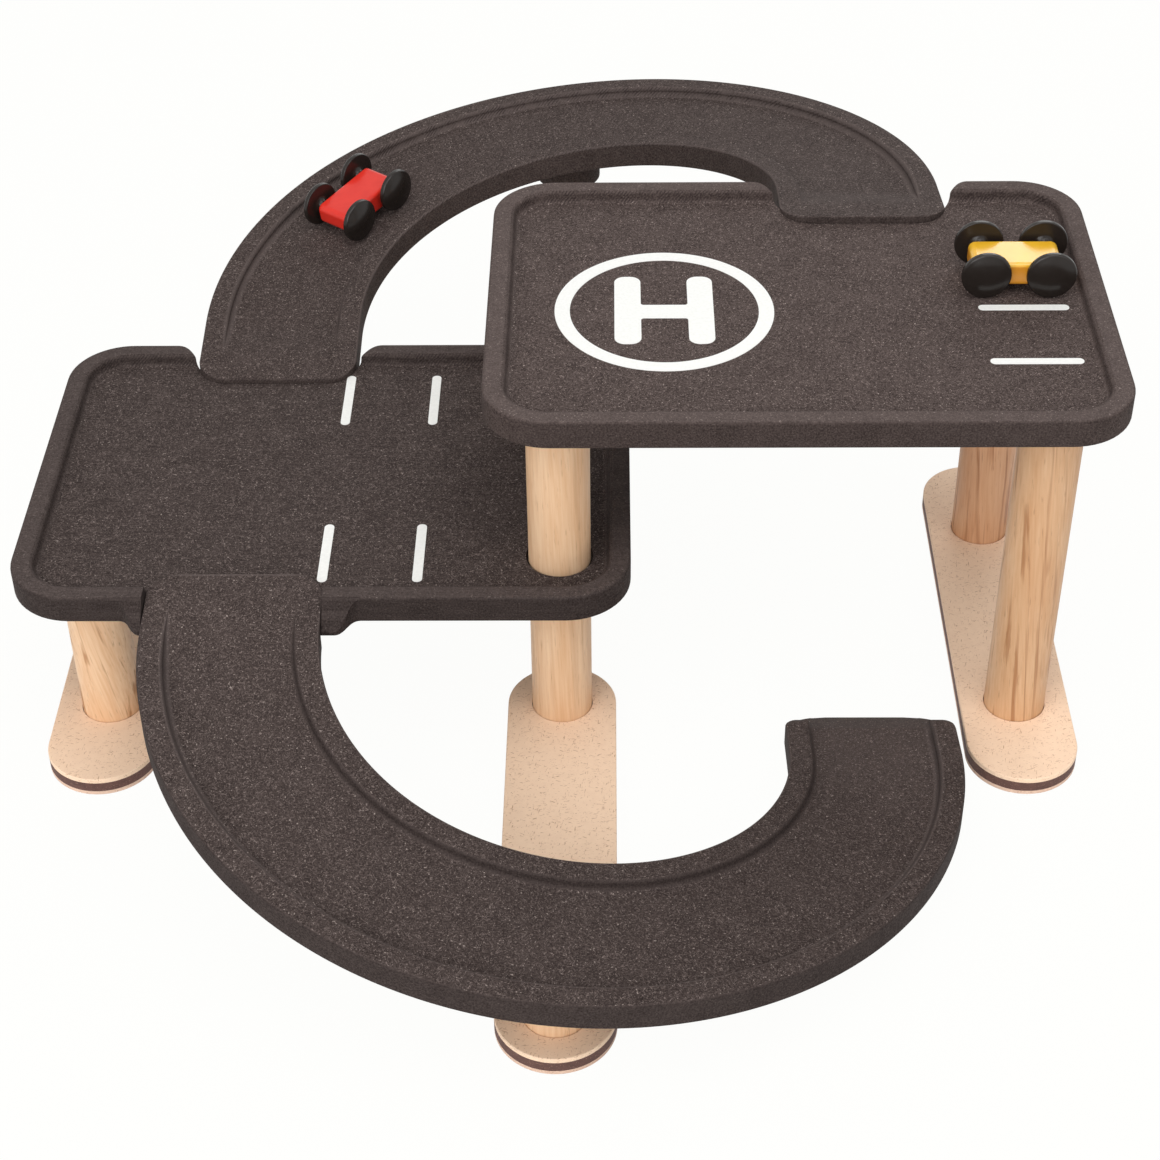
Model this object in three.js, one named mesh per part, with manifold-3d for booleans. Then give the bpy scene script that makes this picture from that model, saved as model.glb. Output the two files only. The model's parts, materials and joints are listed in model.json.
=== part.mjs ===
// A wooden toy parking garage: two routed trays on dowel posts, joined to each other and to the
// ground by two half-ring ramps, with two small cars. Millimetres, +Z up, the ground at z = 0 and
// the origin in the middle of the plan. The back ramp runs from the upper deck down to the lower
// deck, and the front ramp from the lower deck down to the ground.
import * as THREE from 'three';
import { mergeVertices } from 'three/addons/utils/BufferGeometryUtils.js';
import Module from 'manifold-3d';

const wasm = await Module();
wasm.setup();

// Decks: two equal boards, routed out as shallow trays
const DECK_LENGTH = 247;
const DECK_WIDTH = 180;
const DECK_THICKNESS = 12;
const DECK_CORNER_RADIUS = 26;
const DECK_SHIFT = 3.1; // each deck stands this far out towards the ramp that leaves it
const TRAY_DEPTH = 5;
const RIM_FLAT = 8;
const RIM_COVE = 6;
const EDGE_ROUND = 1.2;

// Posts and the sockets that hold them
const POST_DIAMETER = 25;
const POST_INSET_X = 28.5;
const POST_INSET_Y = 30;
const STOREY_CLEAR = 71.6; // bare post under each deck
const SOCKET_DEPTH = 3;
const SOCKET_CLEARANCE = 0.3;
const RECESS_DEPTH = 2;
const RECESS_CLEARANCE = 1;
const PEG_DIAMETER = 10;
const PEG_REACH = 20;
const PEG_CLEARANCE = 0.3;

// Feet: three layers, glued, with the post standing on the middle one
const FOOT_WIDTH = 45.4;
const FOOT_TOP = 2;
const FOOT_CORE = 4.4;
const FOOT_BASE = 2;

// Wood screws from below
const SCREW_DIAMETER = 4;
const SCREW_HEAD_DIAMETER = 8;
const SCREW_HEAD_HEIGHT = 1.4;
const SCREW_REACH = 24;
const SCREW_POINT = 5;
const SCREW_SLOT_WIDTH = 1;
const SCREW_SLOT_LENGTH = 4.6;
const SCREW_SLOT_DEPTH = 0.7;
const SCREW_CLEARANCE = 0.3;

// Ramps: half rings that stay level across and fall at one rate
const RAMP_OFFSET = 32.5; // from a deck's middle to the middle of the ramp on it
const RAMP_WIDTH = 70;
const RAMP_THICKNESS = 12;
const RAMP_EDGE = 1;
const RAMP_EDGE_INNER = 1.6; // the rounded edge ends here on the ramp's top
const RAMP_EDGE_TURN = 0.3;
const CHANNEL_DEPTH = 4.5;
const CHANNEL_RIM = 9;
const CHANNEL_COVE = 4;
const CHANNEL_WALL = 1; // the channel's side is steep for this width
const CHANNEL_WALL_SHARE = 0.65; // and takes this share of its depth
const CHANNEL_START = 13; // plain lip before the channel begins
const CHANNEL_RUN_IN = 30;
const TONGUE_REACH = 8.9;
const LIP_HEIGHT = 3.3; // top of a lip above the tray it lies on, at the upper ends
const LIP_HEIGHT_BELOW = 2.2; // the same at the lower end of the back ramp
const LIP_LAP = 6.5;
const LIP_CORNER = 13;
const BACK_TOP_STRAIGHT = 36.5;
const FRONT_TOP_STRAIGHT = 27;
const LOWER_STRAIGHT = 39;
const GROUND_STRAIGHT = 40.2;
const GROUND_CHAMFER = 17;
const GROUND_TIP = 1;
const GROUND_CORNER = 20;
const NOSE_START = 24; // the rims begin to round down this far from the ground end
const NOSE_LENGTH = 12;
const NOSE_LEFT = 0.2; // rim left standing over the channel's floor beyond the nose
const NOSE_STEPS = 5;
const LAP_GAP = 0.3;

// Notches and the tongue, where the ramps meet the decks
const NOTCH_MOUTH = 11; // flare on each side of the ramp at the deck's edge
const NOTCH_TUCK = 7; // how far the flare ends inside the ramp's side
const TONGUE_SIDE = 5; // flat tongue end beside the ramp, towards the deck's middle
const TONGUE_SIDE_OUTER = 0.5; // the same towards the deck's end
const TONGUE_FILLET = 10;
const SEAT_REACH = 18; // how far the open rim reaches in from the deck's edge
const SHOULDER_START = 1; // the tongue's shoulders fall from this far inside the deck's edge
const SHOULDER_TIP = 2.4; // and are this thick at the tongue's end
const SEAT_TIP = 1.8; // tongue left under the seat at its end

// Bosses under the ramps
const BOSS_DIAMETER = 31;
const BOSS_DROP = 18;
const BOSS_SOCKET = 10;

// Cars
const CAR_LENGTH = 36;
const CAR_WIDTH = 19;
const CAR_HEIGHT = 10;
const CAR_ROUND = 3;
const CAR_EDGE = 1.2;
const CAR_GROUND_CLEARANCE = 3.2;
const WHEEL_DIAMETER = 20;
const WHEEL_THICKNESS = 2.6;
const WHEEL_DOME = 1.4;
const WHEEL_DOME_RING = 5.5; // radius at which the dome has risen most of its height
const WHEEL_DOME_SHARE = 0.8;
const WHEEL_EDGE = 0.9;
const HUB_LENGTH = 1.7;
const HUB_DIAMETER = 5;
const HUB_ROOT_DIAMETER = 9;
const HUB_GAP = 0.3;
const WHEELBASE = 26;
const AXLE_DIAMETER = 3;
const AXLE_CLEARANCE = 0.15;
const AXLE_SEAT = 3; // length of axle held in each wheel
const PARK_INSET = 35; // parked car to the upper deck's outer end
const PARK_OFFSET = 16.8; // parked car to the upper deck's middle line
const PARK_GAP = 0.2;
const RAMP_CAR_ANGLE = 142; // degrees round the back ramp from its top
const RAMP_CAR_INWARD = 4;
const RAMP_CAR_GAP = 0.8;

// Facets on round forms
const ROUND_FACETS = 20;
const SMALL_FACETS = 12;
const ARC_POINTS = 6;
const CAR_ARC_POINTS = 2;
const RAMP_STEP = 7.5; // degrees of ramp for each facet
const STRAIGHT_STEPS = 6;
const BOSS_STEPS = 8;
const TRAY_COVE_STEPS = 2;

// Heights and places that follow from the sizes above
const DECK_MIDDLE_X = DECK_LENGTH / 2 - POST_INSET_X;
const POST_X = DECK_LENGTH - 2 * POST_INSET_X;
const POST_Y = DECK_WIDTH / 2 - POST_INSET_Y;
const FOOT_HEIGHT = FOOT_TOP + FOOT_CORE + FOOT_BASE;
const POST_BOTTOM = FOOT_BASE + FOOT_CORE;
const LOWER_DECK_Z = FOOT_HEIGHT + STOREY_CLEAR;
const LOWER_FLOOR_Z = LOWER_DECK_Z + DECK_THICKNESS - TRAY_DEPTH;
const UPPER_DECK_Z = LOWER_FLOOR_Z + STOREY_CLEAR;
const UPPER_FLOOR_Z = UPPER_DECK_Z + DECK_THICKNESS - TRAY_DEPTH;
const DECK_EDGE_FAR = DECK_WIDTH / 2 + DECK_SHIFT;
const DECK_EDGE_NEAR = DECK_WIDTH / 2 - DECK_SHIFT;
const RAMP_RADIUS = DECK_MIDDLE_X + RAMP_OFFSET;
const RAMP_CENTRE_Y = DECK_EDGE_FAR + TONGUE_REACH;
const RAMP_POST_Y = RAMP_CENTRE_Y + RAMP_RADIUS;
const FOOT_LENGTH = RAMP_POST_Y - POST_Y + FOOT_WIDTH;

// Materials
const paint = (color, roughness) => new THREE.MeshStandardMaterial({ color, roughness, metalness: 0 });
const darkBoard = paint(0x4e4644, 0.85);
const postWood = paint(0xd9ae7c, 0.6);
const paleBoard = paint(0xf0d3b3, 0.8);
const brownBoard = paint(0x5a3c30, 0.85);
const redPaint = paint(0xe2352b, 0.3);
const yellowPaint = paint(0xf2b822, 0.3);
const blackPlastic = paint(0x141210, 0.15);
const screwSteel = new THREE.MeshStandardMaterial({ color: 0xb8b8b4, roughness: 0.35, metalness: 1 });

// Solids: three.js shapes turned into solids that can be joined and cut, and back into a mesh
function solid(geometry) {
  const bare = geometry.clone();
  bare.deleteAttribute('normal');
  bare.deleteAttribute('uv');
  const merged = mergeVertices(bare, 1e-4);
  const vertProperties = new Float32Array(merged.attributes.position.array);
  const triVerts = new Uint32Array(merged.index.array);
  return new wasm.Manifold(new wasm.Mesh({ numProp: 3, vertProperties, triVerts }));
}

function meshOf(name, body, material) {
  const { vertProperties, triVerts } = body.getMesh();
  const geometry = new THREE.BufferGeometry();
  geometry.setAttribute('position', new THREE.BufferAttribute(vertProperties, 3));
  geometry.setIndex(new THREE.BufferAttribute(triVerts, 1));
  geometry.computeVertexNormals();
  const mesh = new THREE.Mesh(geometry, material);
  mesh.name = name;
  return mesh;
}

// An outline raised from z = bottom, with its edges rounded by edge
function plate(shape, bottom, height, edge = 0, edgeSteps = 2, arcPoints = ARC_POINTS) {
  const geometry = new THREE.ExtrudeGeometry(shape, {
    depth: height - 2 * edge,
    curveSegments: arcPoints,
    bevelEnabled: edge > 0,
    bevelThickness: edge,
    bevelSize: edge,
    bevelOffset: -edge,
    bevelSegments: edgeSteps,
  });
  geometry.translate(0, 0, bottom + edge);
  return solid(geometry);
}

// An outline in (y, z) drawn out along x, from -reach to +reach
function bar(points, reach) {
  const shape = new THREE.Shape(points.map(([y, z]) => new THREE.Vector2(y, z)));
  const geometry = new THREE.ExtrudeGeometry(shape, { depth: 2 * reach, bevelEnabled: false });
  geometry.translate(0, 0, -reach);
  geometry.applyMatrix4(new THREE.Matrix4().makeBasis(
    new THREE.Vector3(0, 1, 0), new THREE.Vector3(0, 0, 1), new THREE.Vector3(1, 0, 0)));
  return solid(geometry);
}

// A profile of (radius, height) turned about z
function turned(profile, facets = ROUND_FACETS) {
  const points = profile.map(([radius, height]) => new THREE.Vector2(radius, height));
  const geometry = new THREE.LatheGeometry(points, facets);
  geometry.rotateX(Math.PI / 2);
  return solid(geometry);
}

function rod(radius, bottom, top, facets = ROUND_FACETS) {
  return turned([[0, bottom], [radius, bottom], [radius, top], [0, top]], facets);
}

function roundedRectangle(length, width, radius) {
  const shape = new THREE.Shape();
  const x = length / 2 - radius;
  const y = width / 2 - radius;
  shape.absarc(x, y, radius, 0, Math.PI / 2);
  shape.absarc(-x, y, radius, Math.PI / 2, Math.PI);
  shape.absarc(-x, -y, radius, Math.PI, 1.5 * Math.PI);
  shape.absarc(x, -y, radius, 1.5 * Math.PI, 2 * Math.PI);
  return shape;
}

// A soft step from (x0, y0) to (x1, y1), level at both ends
function softStep(path, x0, y0, x1, y1) {
  const middle = (x0 + x1) / 2;
  path.lineTo(x0, y0);
  path.bezierCurveTo(middle, y0, middle, y1, x1, y1);
}

// Decks
const notchMouth = RAMP_WIDTH / 2 + NOTCH_MOUTH;
const notchFoot = RAMP_WIDTH / 2 - NOTCH_TUCK;
const tongueFlat = RAMP_WIDTH / 2 + TONGUE_SIDE;
const tongueFlatOuter = RAMP_WIDTH / 2 + TONGUE_SIDE_OUTER;

// A deck's outline about its own middle: a notch in the back edge, and a tongue on the front edge
function deckOutline({ rampX, notchDepth, tongue }) {
  const shape = new THREE.Shape();
  const radius = DECK_CORNER_RADIUS;
  const x = DECK_LENGTH / 2 - radius;
  const y = DECK_WIDTH / 2 - radius;
  const edge = DECK_WIDTH / 2;
  shape.absarc(x, y, radius, 0, Math.PI / 2);
  softStep(shape, rampX + notchMouth, edge, rampX + notchFoot, edge - notchDepth);
  softStep(shape, rampX - notchFoot, edge - notchDepth, rampX - notchMouth, edge);
  shape.absarc(-x, y, radius, Math.PI / 2, Math.PI);
  shape.absarc(-x, -y, radius, Math.PI, 1.5 * Math.PI);
  if (tongue) {
    const tip = -edge - TONGUE_REACH;
    softStep(shape, rampX - tongueFlatOuter - TONGUE_FILLET, -edge, rampX - tongueFlatOuter, tip);
    softStep(shape, rampX + tongueFlat, tip, rampX + tongueFlat + TONGUE_FILLET, -edge);
  }
  shape.absarc(x, -y, radius, 1.5 * Math.PI, 2 * Math.PI);
  return shape;
}

// The tray: a flat floor that rises to the rim in a cove, as a round cutter leaves it
function trayCutter() {
  const shape = roundedRectangle(
    DECK_LENGTH - 2 * RIM_FLAT, DECK_WIDTH - 2 * RIM_FLAT, DECK_CORNER_RADIUS - RIM_FLAT);
  const geometry = new THREE.ExtrudeGeometry(shape, {
    depth: DECK_THICKNESS,
    curveSegments: ARC_POINTS,
    bevelThickness: TRAY_DEPTH,
    bevelSize: RIM_COVE,
    bevelOffset: -RIM_COVE,
    bevelSegments: TRAY_COVE_STEPS,
  });
  geometry.translate(0, 0, DECK_THICKNESS);
  return solid(geometry);
}

// The way through the rim for the lip of a ramp that drops into the notch
function lipOpening(rampX) {
  const rim = RIM_FLAT + RIM_COVE;
  const box = new THREE.BoxGeometry(RAMP_WIDTH + 2 * LAP_GAP, 2 * rim, 2 * TRAY_DEPTH);
  box.translate(rampX, DECK_WIDTH / 2, DECK_THICKNESS);
  return solid(box);
}

function deckBoard(outline, rampX, posts) {
  const floor = DECK_THICKNESS - TRAY_DEPTH;
  let board = plate(outline, 0, DECK_THICKNESS, EDGE_ROUND).subtract(trayCutter());
  board = board.subtract(lipOpening(rampX));
  const socket = rod(POST_DIAMETER / 2 + SOCKET_CLEARANCE, -floor, SOCKET_DEPTH);
  for (const { x, y } of posts) board = board.subtract(socket.translate(x, y, 0));
  return board;
}

// The seat for the front ramp: the rim is open there, the floor falls away along the tongue, and
// the tongue's shoulders beside the ramp fall from the rim
const seatStart = FRONT_TOP_STRAIGHT - TONGUE_REACH - LIP_LAP; // in from the deck's edge
const seatTop = DECK_THICKNESS - TRAY_DEPTH;

function seatCutter(rampX) {
  const edge = -DECK_WIDTH / 2;
  const beyond = edge - TONGUE_REACH - TONGUE_FILLET;
  const above = 2 * DECK_THICKNESS;
  const slope = (seatTop - SEAT_TIP) / (seatStart + TONGUE_REACH);
  const slot = bar([
    [edge + SEAT_REACH, seatTop],
    [edge + SEAT_REACH, above],
    [beyond, above],
    [beyond, SEAT_TIP - slope * TONGUE_FILLET],
    [edge + seatStart, seatTop],
  ], RAMP_WIDTH / 2 + LAP_GAP);
  const shoulderSlope = (DECK_THICKNESS - SHOULDER_TIP) / (SHOULDER_START + TONGUE_REACH);
  const shoulders = bar([
    [edge + SHOULDER_START, DECK_THICKNESS],
    [edge + SHOULDER_START, above],
    [beyond, above],
    [beyond, SHOULDER_TIP - shoulderSlope * TONGUE_FILLET],
  ], tongueFlat + TONGUE_FILLET);
  return slot.add(shoulders).translate(rampX, 0, 0);
}

function upperDeck() {
  const notchDepth = DECK_EDGE_FAR - (RAMP_CENTRE_Y - BACK_TOP_STRAIGHT + LIP_LAP);
  const outline = deckOutline({ rampX: RAMP_OFFSET, notchDepth, tongue: false });
  const posts = [];
  for (const x of [-POST_X / 2, POST_X / 2]) {
    for (const y of [-POST_Y, POST_Y]) posts.push({ x, y: y - DECK_SHIFT });
  }
  return deckBoard(outline, RAMP_OFFSET, posts).translate(DECK_MIDDLE_X, DECK_SHIFT, UPPER_DECK_Z);
}

function lowerDeck() {
  const notchDepth = DECK_EDGE_NEAR - (RAMP_CENTRE_Y - LOWER_STRAIGHT + LIP_LAP);
  const outline = deckOutline({ rampX: -RAMP_OFFSET, notchDepth, tongue: true });
  const posts = [];
  for (const x of [-POST_X / 2, POST_X / 2]) {
    for (const y of [-POST_Y, POST_Y]) posts.push({ x, y: y + DECK_SHIFT });
  }
  const floor = DECK_THICKNESS - TRAY_DEPTH;
  const recessRadius = POST_DIAMETER / 2 + RECESS_CLEARANCE;
  const recess = rod(recessRadius, floor - RECESS_DEPTH, DECK_THICKNESS - EDGE_ROUND);
  const pegHole = rod(PEG_DIAMETER / 2 + PEG_CLEARANCE, -floor, DECK_THICKNESS, SMALL_FACETS);
  let board = deckBoard(outline, -RAMP_OFFSET, posts).subtract(seatCutter(-RAMP_OFFSET));
  for (const y of [-POST_Y, POST_Y]) {
    board = board.subtract(recess.translate(POST_X / 2, y + DECK_SHIFT, 0));
    board = board.subtract(pegHole.translate(POST_X / 2, y + DECK_SHIFT, 0));
  }
  return board.translate(-DECK_MIDDLE_X, -DECK_SHIFT, LOWER_DECK_Z);
}

// Ramps, drawn as the back one: from the top end at +x, round the back, to the lower end at -x
function rampLine({ topStraight, endStraight, topZ, endZ }) {
  const arc = Math.PI * RAMP_RADIUS;
  const length = topStraight + arc + endStraight;
  const fall = (topZ - endZ) / length;
  // Point on the ramp's top at s along its middle line, u outwards and w up
  const point = (s, u, w) => {
    const angle = THREE.MathUtils.clamp((s - topStraight) / RAMP_RADIUS, 0, Math.PI);
    const before = Math.min(s - topStraight, 0);
    const after = Math.max(s - topStraight - arc, 0);
    const radius = RAMP_RADIUS + u;
    return new THREE.Vector3(
      radius * Math.cos(angle),
      RAMP_CENTRE_Y + radius * Math.sin(angle) + before - after,
      topZ - fall * s + w);
  };
  const stations = [];
  const arcSteps = Math.round(180 / RAMP_STEP);
  for (let i = 0; i < STRAIGHT_STEPS; i += 1) stations.push(topStraight * i / STRAIGHT_STEPS);
  for (let i = 0; i < arcSteps; i += 1) stations.push(topStraight + arc * i / arcSteps);
  for (let i = 0; i <= STRAIGHT_STEPS; i += 1) {
    stations.push(topStraight + arc + endStraight * i / STRAIGHT_STEPS);
  }
  return { length, fall, middle: topStraight + arc / 2, point, stations };
}

// A closed skin over one section for each station, with a cap on each end
function loft(line, stations, section) {
  const rings = stations.map((s) => section(s));
  const size = rings[0].length;
  const positions = [];
  rings.forEach((ring, i) => {
    for (const [u, w] of ring) positions.push(...line.point(stations[i], u, w).toArray());
  });
  const faces = [];
  for (let i = 0; i + 1 < rings.length; i += 1) {
    for (let j = 0; j < size; j += 1) {
      const a = i * size + j;
      const b = i * size + (j + 1) % size;
      faces.push(a, b + size, b, a, a + size, b + size);
    }
  }
  const caps = [[0, true], [rings.length - 1, false]];
  for (const [i, flip] of caps) {
    const contour = rings[i].map(([u, w]) => new THREE.Vector2(u, w));
    for (const [a, b, c] of THREE.ShapeUtils.triangulateShape(contour, [])) {
      const base = i * size;
      faces.push(...(flip ? [base + a, base + b, base + c] : [base + a, base + c, base + b]));
    }
  }
  const geometry = new THREE.BufferGeometry();
  geometry.setAttribute('position', new THREE.Float32BufferAttribute(positions, 3));
  geometry.setIndex(faces);
  return solid(geometry);
}

// One section of the channelled board, from its outer bottom edge round to its inner bottom edge
function channelSection(depth) {
  const half = RAMP_WIDTH / 2;
  const rim = half - CHANNEL_RIM;
  const floor = rim - CHANNEL_COVE;
  const bottom = -RAMP_THICKNESS;
  const side = [
    [half - RAMP_EDGE, bottom],
    [half, bottom + RAMP_EDGE],
    [half, -RAMP_EDGE],
    [half - RAMP_EDGE_TURN, -RAMP_EDGE_TURN],
    [half - RAMP_EDGE_INNER, 0],
    [rim, 0],
    [rim - CHANNEL_WALL, -depth * CHANNEL_WALL_SHARE],
    [floor, -depth],
  ];
  const mirrored = side.map(([u, w]) => [-u, w]).reverse();
  return [...side, ...mirrored];
}

// The corner of a ramp's end, to be cut away: outside the round of the given radius
function cornerCutter(radius) {
  const spare = RAMP_WIDTH;
  const shape = new THREE.Shape();
  shape.moveTo(radius, 0);
  shape.absarc(radius, radius, radius, 1.5 * Math.PI, Math.PI, true);
  shape.lineTo(-spare, radius);
  shape.lineTo(-spare, -spare);
  shape.lineTo(radius, -spare);
  return plate(shape, -DECK_WIDTH, 4 * DECK_WIDTH);
}

function roundEnd(body, x, endY, radius) {
  const corner = cornerCutter(radius);
  const half = RAMP_WIDTH / 2;
  return body
    .subtract(corner.translate(x - half, endY, 0))
    .subtract(corner.mirror([1, 0, 0]).translate(x + half, endY, 0));
}

// All that lies under a tray's floor round a notch, to be cut from the ramp that drops into it
function notchCutter(x, notchY, edgeY, floorZ) {
  const shape = new THREE.Shape();
  const wide = notchMouth + RAMP_WIDTH;
  const foot = notchFoot - LAP_GAP;
  const mouth = notchMouth - LAP_GAP;
  const bottom = notchY + LAP_GAP;
  shape.moveTo(x - wide, edgeY);
  shape.lineTo(x - wide, notchY - RAMP_WIDTH);
  shape.lineTo(x + wide, notchY - RAMP_WIDTH);
  shape.lineTo(x + wide, edgeY);
  softStep(shape, x + mouth, edgeY, x + foot, bottom);
  softStep(shape, x - foot, bottom, x - mouth, edgeY);
  return plate(shape, floorZ - RAMP_WIDTH, RAMP_WIDTH + LAP_GAP);
}

function runIn(distance) {
  return THREE.MathUtils.smoothstep(distance, CHANNEL_START, CHANNEL_START + CHANNEL_RUN_IN);
}

const backLine = rampLine({
  topStraight: BACK_TOP_STRAIGHT,
  endStraight: LOWER_STRAIGHT,
  topZ: UPPER_FLOOR_Z + LIP_HEIGHT,
  endZ: LOWER_FLOOR_Z + LIP_HEIGHT_BELOW,
});

const frontLine = rampLine({
  topStraight: FRONT_TOP_STRAIGHT,
  endStraight: GROUND_STRAIGHT,
  topZ: LOWER_FLOOR_Z + LIP_HEIGHT,
  endZ: RAMP_THICKNESS,
});

function backRamp() {
  const line = backLine;
  const depth = (s) => CHANNEL_DEPTH * runIn(s) * runIn(line.length - s);
  const topY = RAMP_CENTRE_Y - BACK_TOP_STRAIGHT;
  const endY = RAMP_CENTRE_Y - LOWER_STRAIGHT;
  let body = loft(line, line.stations, (s) => channelSection(depth(s)));
  body = roundEnd(body, RAMP_RADIUS, topY, LIP_CORNER);
  body = roundEnd(body, -RAMP_RADIUS, endY, LIP_CORNER);
  body = body.subtract(notchCutter(RAMP_RADIUS, topY + LIP_LAP, DECK_EDGE_FAR, UPPER_FLOOR_Z));
  return body.subtract(notchCutter(-RAMP_RADIUS, endY + LIP_LAP, DECK_EDGE_NEAR, LOWER_FLOOR_Z));
}

// All that lies over the rims' noses at the ground end, where they round down to the channel's floor
function noseCutter(line, endY) {
  const top = RAMP_THICKNESS + line.fall * NOSE_START;
  const chamferTop = RAMP_THICKNESS + line.fall * GROUND_CHAMFER - CHANNEL_DEPTH;
  const slope = (chamferTop - GROUND_TIP) / GROUND_CHAMFER;
  const floor = (y) => GROUND_TIP + NOSE_LEFT + slope * (y - endY);
  const noseY = endY + NOSE_START - NOSE_LENGTH;
  const outside = endY - RAMP_THICKNESS;
  const points = [[outside, floor(outside)], [outside, 2 * top], [endY + NOSE_START, 2 * top]];
  for (let i = 0; i <= NOSE_STEPS; i += 1) {
    const angle = Math.PI / 2 * i / NOSE_STEPS;
    points.push([
      endY + NOSE_START - NOSE_LENGTH * Math.sin(angle),
      floor(noseY) + (top - floor(noseY)) * Math.cos(angle),
    ]);
  }
  return bar(points, RAMP_WIDTH);
}

// The front ramp is drawn the same way and turned half round: its channel runs out at the ground
function frontRamp() {
  const line = frontLine;
  const tip = RAMP_THICKNESS - GROUND_TIP - CHANNEL_DEPTH;
  const depth = (s) => {
    const out = Math.max(s - (line.length - GROUND_CHAMFER), 0) / GROUND_CHAMFER;
    return CHANNEL_DEPTH * runIn(s) + tip * out;
  };
  const topY = RAMP_CENTRE_Y - FRONT_TOP_STRAIGHT;
  const endY = RAMP_CENTRE_Y - GROUND_STRAIGHT;
  const stations = [...line.stations, line.length - GROUND_CHAMFER].sort((a, b) => a - b);
  let body = loft(line, stations, (s) => channelSection(depth(s)));
  body = roundEnd(body, RAMP_RADIUS, topY, LIP_CORNER);
  body = roundEnd(body, -RAMP_RADIUS, endY, GROUND_CORNER);
  body = body.subtract(noseCutter(line, endY).translate(-RAMP_RADIUS, 0, 0));
  const floor = LOWER_FLOOR_Z + LAP_GAP;
  const past = RAMP_CENTRE_Y + LAP_GAP;
  const tongueTop = LOWER_DECK_Z + SEAT_TIP + LAP_GAP;
  const seat = bar([
    [topY - RAMP_WIDTH, 0],
    [past, 0],
    [past, tongueTop],
    [topY + LIP_LAP, floor],
    [topY - RAMP_WIDTH, floor],
  ], RAMP_WIDTH);
  return body.subtract(seat.translate(RAMP_RADIUS, 0, 0));
}

// A boss under a ramp's middle: its top follows the ramp's underside, and a post stands in it
function bossBottom(line) {
  return line.point(line.middle, 0, -RAMP_THICKNESS).z - BOSS_DROP;
}

function rampBoss(line) {
  const bottom = bossBottom(line);
  const reach = BOSS_DIAMETER;
  const under = -RAMP_THICKNESS - LAP_GAP;
  const wide = RAMP_WIDTH / 2;
  const block = [[wide, under], [wide, BOSS_DIAMETER], [-wide, BOSS_DIAMETER], [-wide, under]];
  const stations = [];
  for (let i = 0; i <= BOSS_STEPS; i += 1) stations.push(line.middle - reach + 2 * reach * i / BOSS_STEPS);
  const above = loft(line, stations, () => block);
  const boss = rod(BOSS_DIAMETER / 2, bottom, bottom + BOSS_DROP + BOSS_DIAMETER / 2);
  const socket = rod(POST_DIAMETER / 2 + SOCKET_CLEARANCE, bottom - BOSS_DROP, bottom + BOSS_SOCKET);
  return boss.translate(0, RAMP_POST_Y, 0).subtract(above).subtract(socket.translate(0, RAMP_POST_Y, 0));
}

// Posts, pegs, feet and screws
function post(bottom, top, { pilot = false, pegBelow = false, pegAbove = false }) {
  let body = rod(POST_DIAMETER / 2, bottom, top);
  const pegRadius = PEG_DIAMETER / 2 + PEG_CLEARANCE;
  if (pilot) {
    const radius = SCREW_DIAMETER / 2 + SCREW_CLEARANCE;
    body = body.subtract(rod(radius, bottom - SCREW_REACH, bottom + SCREW_REACH, SMALL_FACETS));
  }
  if (pegBelow) body = body.subtract(rod(pegRadius, bottom - PEG_REACH, bottom + PEG_REACH, SMALL_FACETS));
  if (pegAbove) body = body.subtract(rod(pegRadius, top - PEG_REACH, top + PEG_REACH, SMALL_FACETS));
  return body;
}

function screw() {
  const radius = SCREW_DIAMETER / 2;
  const head = FOOT_BASE - SCREW_HEAD_HEIGHT;
  const tip = POST_BOTTOM + SCREW_REACH - SCREW_CLEARANCE;
  const body = turned([
    [0, head],
    [SCREW_HEAD_DIAMETER / 2, head],
    [SCREW_HEAD_DIAMETER / 2, FOOT_BASE],
    [radius, FOOT_BASE],
    [radius, tip - SCREW_POINT],
    [0, tip],
  ], SMALL_FACETS);
  const slot = solid(new THREE.BoxGeometry(SCREW_SLOT_LENGTH, SCREW_SLOT_WIDTH, 2 * SCREW_SLOT_DEPTH));
  const cross = slot.add(slot.rotate([0, 0, 90])).translate(0, 0, head);
  return body.subtract(cross);
}

function footLayers(postsY) {
  const outline = new THREE.Shape();
  const radius = FOOT_WIDTH / 2;
  const y = FOOT_LENGTH / 2 - radius;
  outline.absarc(0, y, radius, 0, Math.PI);
  outline.absarc(0, -y, radius, Math.PI, 2 * Math.PI);
  let top = plate(outline, POST_BOTTOM, FOOT_TOP);
  let core = plate(outline, FOOT_BASE, FOOT_CORE);
  let base = plate(outline, 0, FOOT_BASE);
  const deep = FOOT_HEIGHT;
  for (const at of postsY) {
    const socket = rod(POST_DIAMETER / 2 + SOCKET_CLEARANCE, -deep, 2 * deep);
    const shank = rod(SCREW_DIAMETER / 2 + SCREW_CLEARANCE, -deep, 2 * deep, SMALL_FACETS);
    const head = rod(SCREW_HEAD_DIAMETER / 2 + SCREW_CLEARANCE, -deep, 2 * deep, SMALL_FACETS);
    top = top.subtract(socket.translate(0, at, 0));
    core = core.subtract(shank.translate(0, at, 0));
    base = base.subtract(head.translate(0, at, 0));
  }
  return { top, core, base };
}

// Cars, each in its own frame: x forwards, z up, the ground under its wheels at z = 0
const axleZ = WHEEL_DIAMETER / 2;
const hubOuter = CAR_WIDTH / 2 + HUB_GAP + HUB_LENGTH;
const axleHalf = hubOuter - HUB_LENGTH + AXLE_SEAT;

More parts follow.
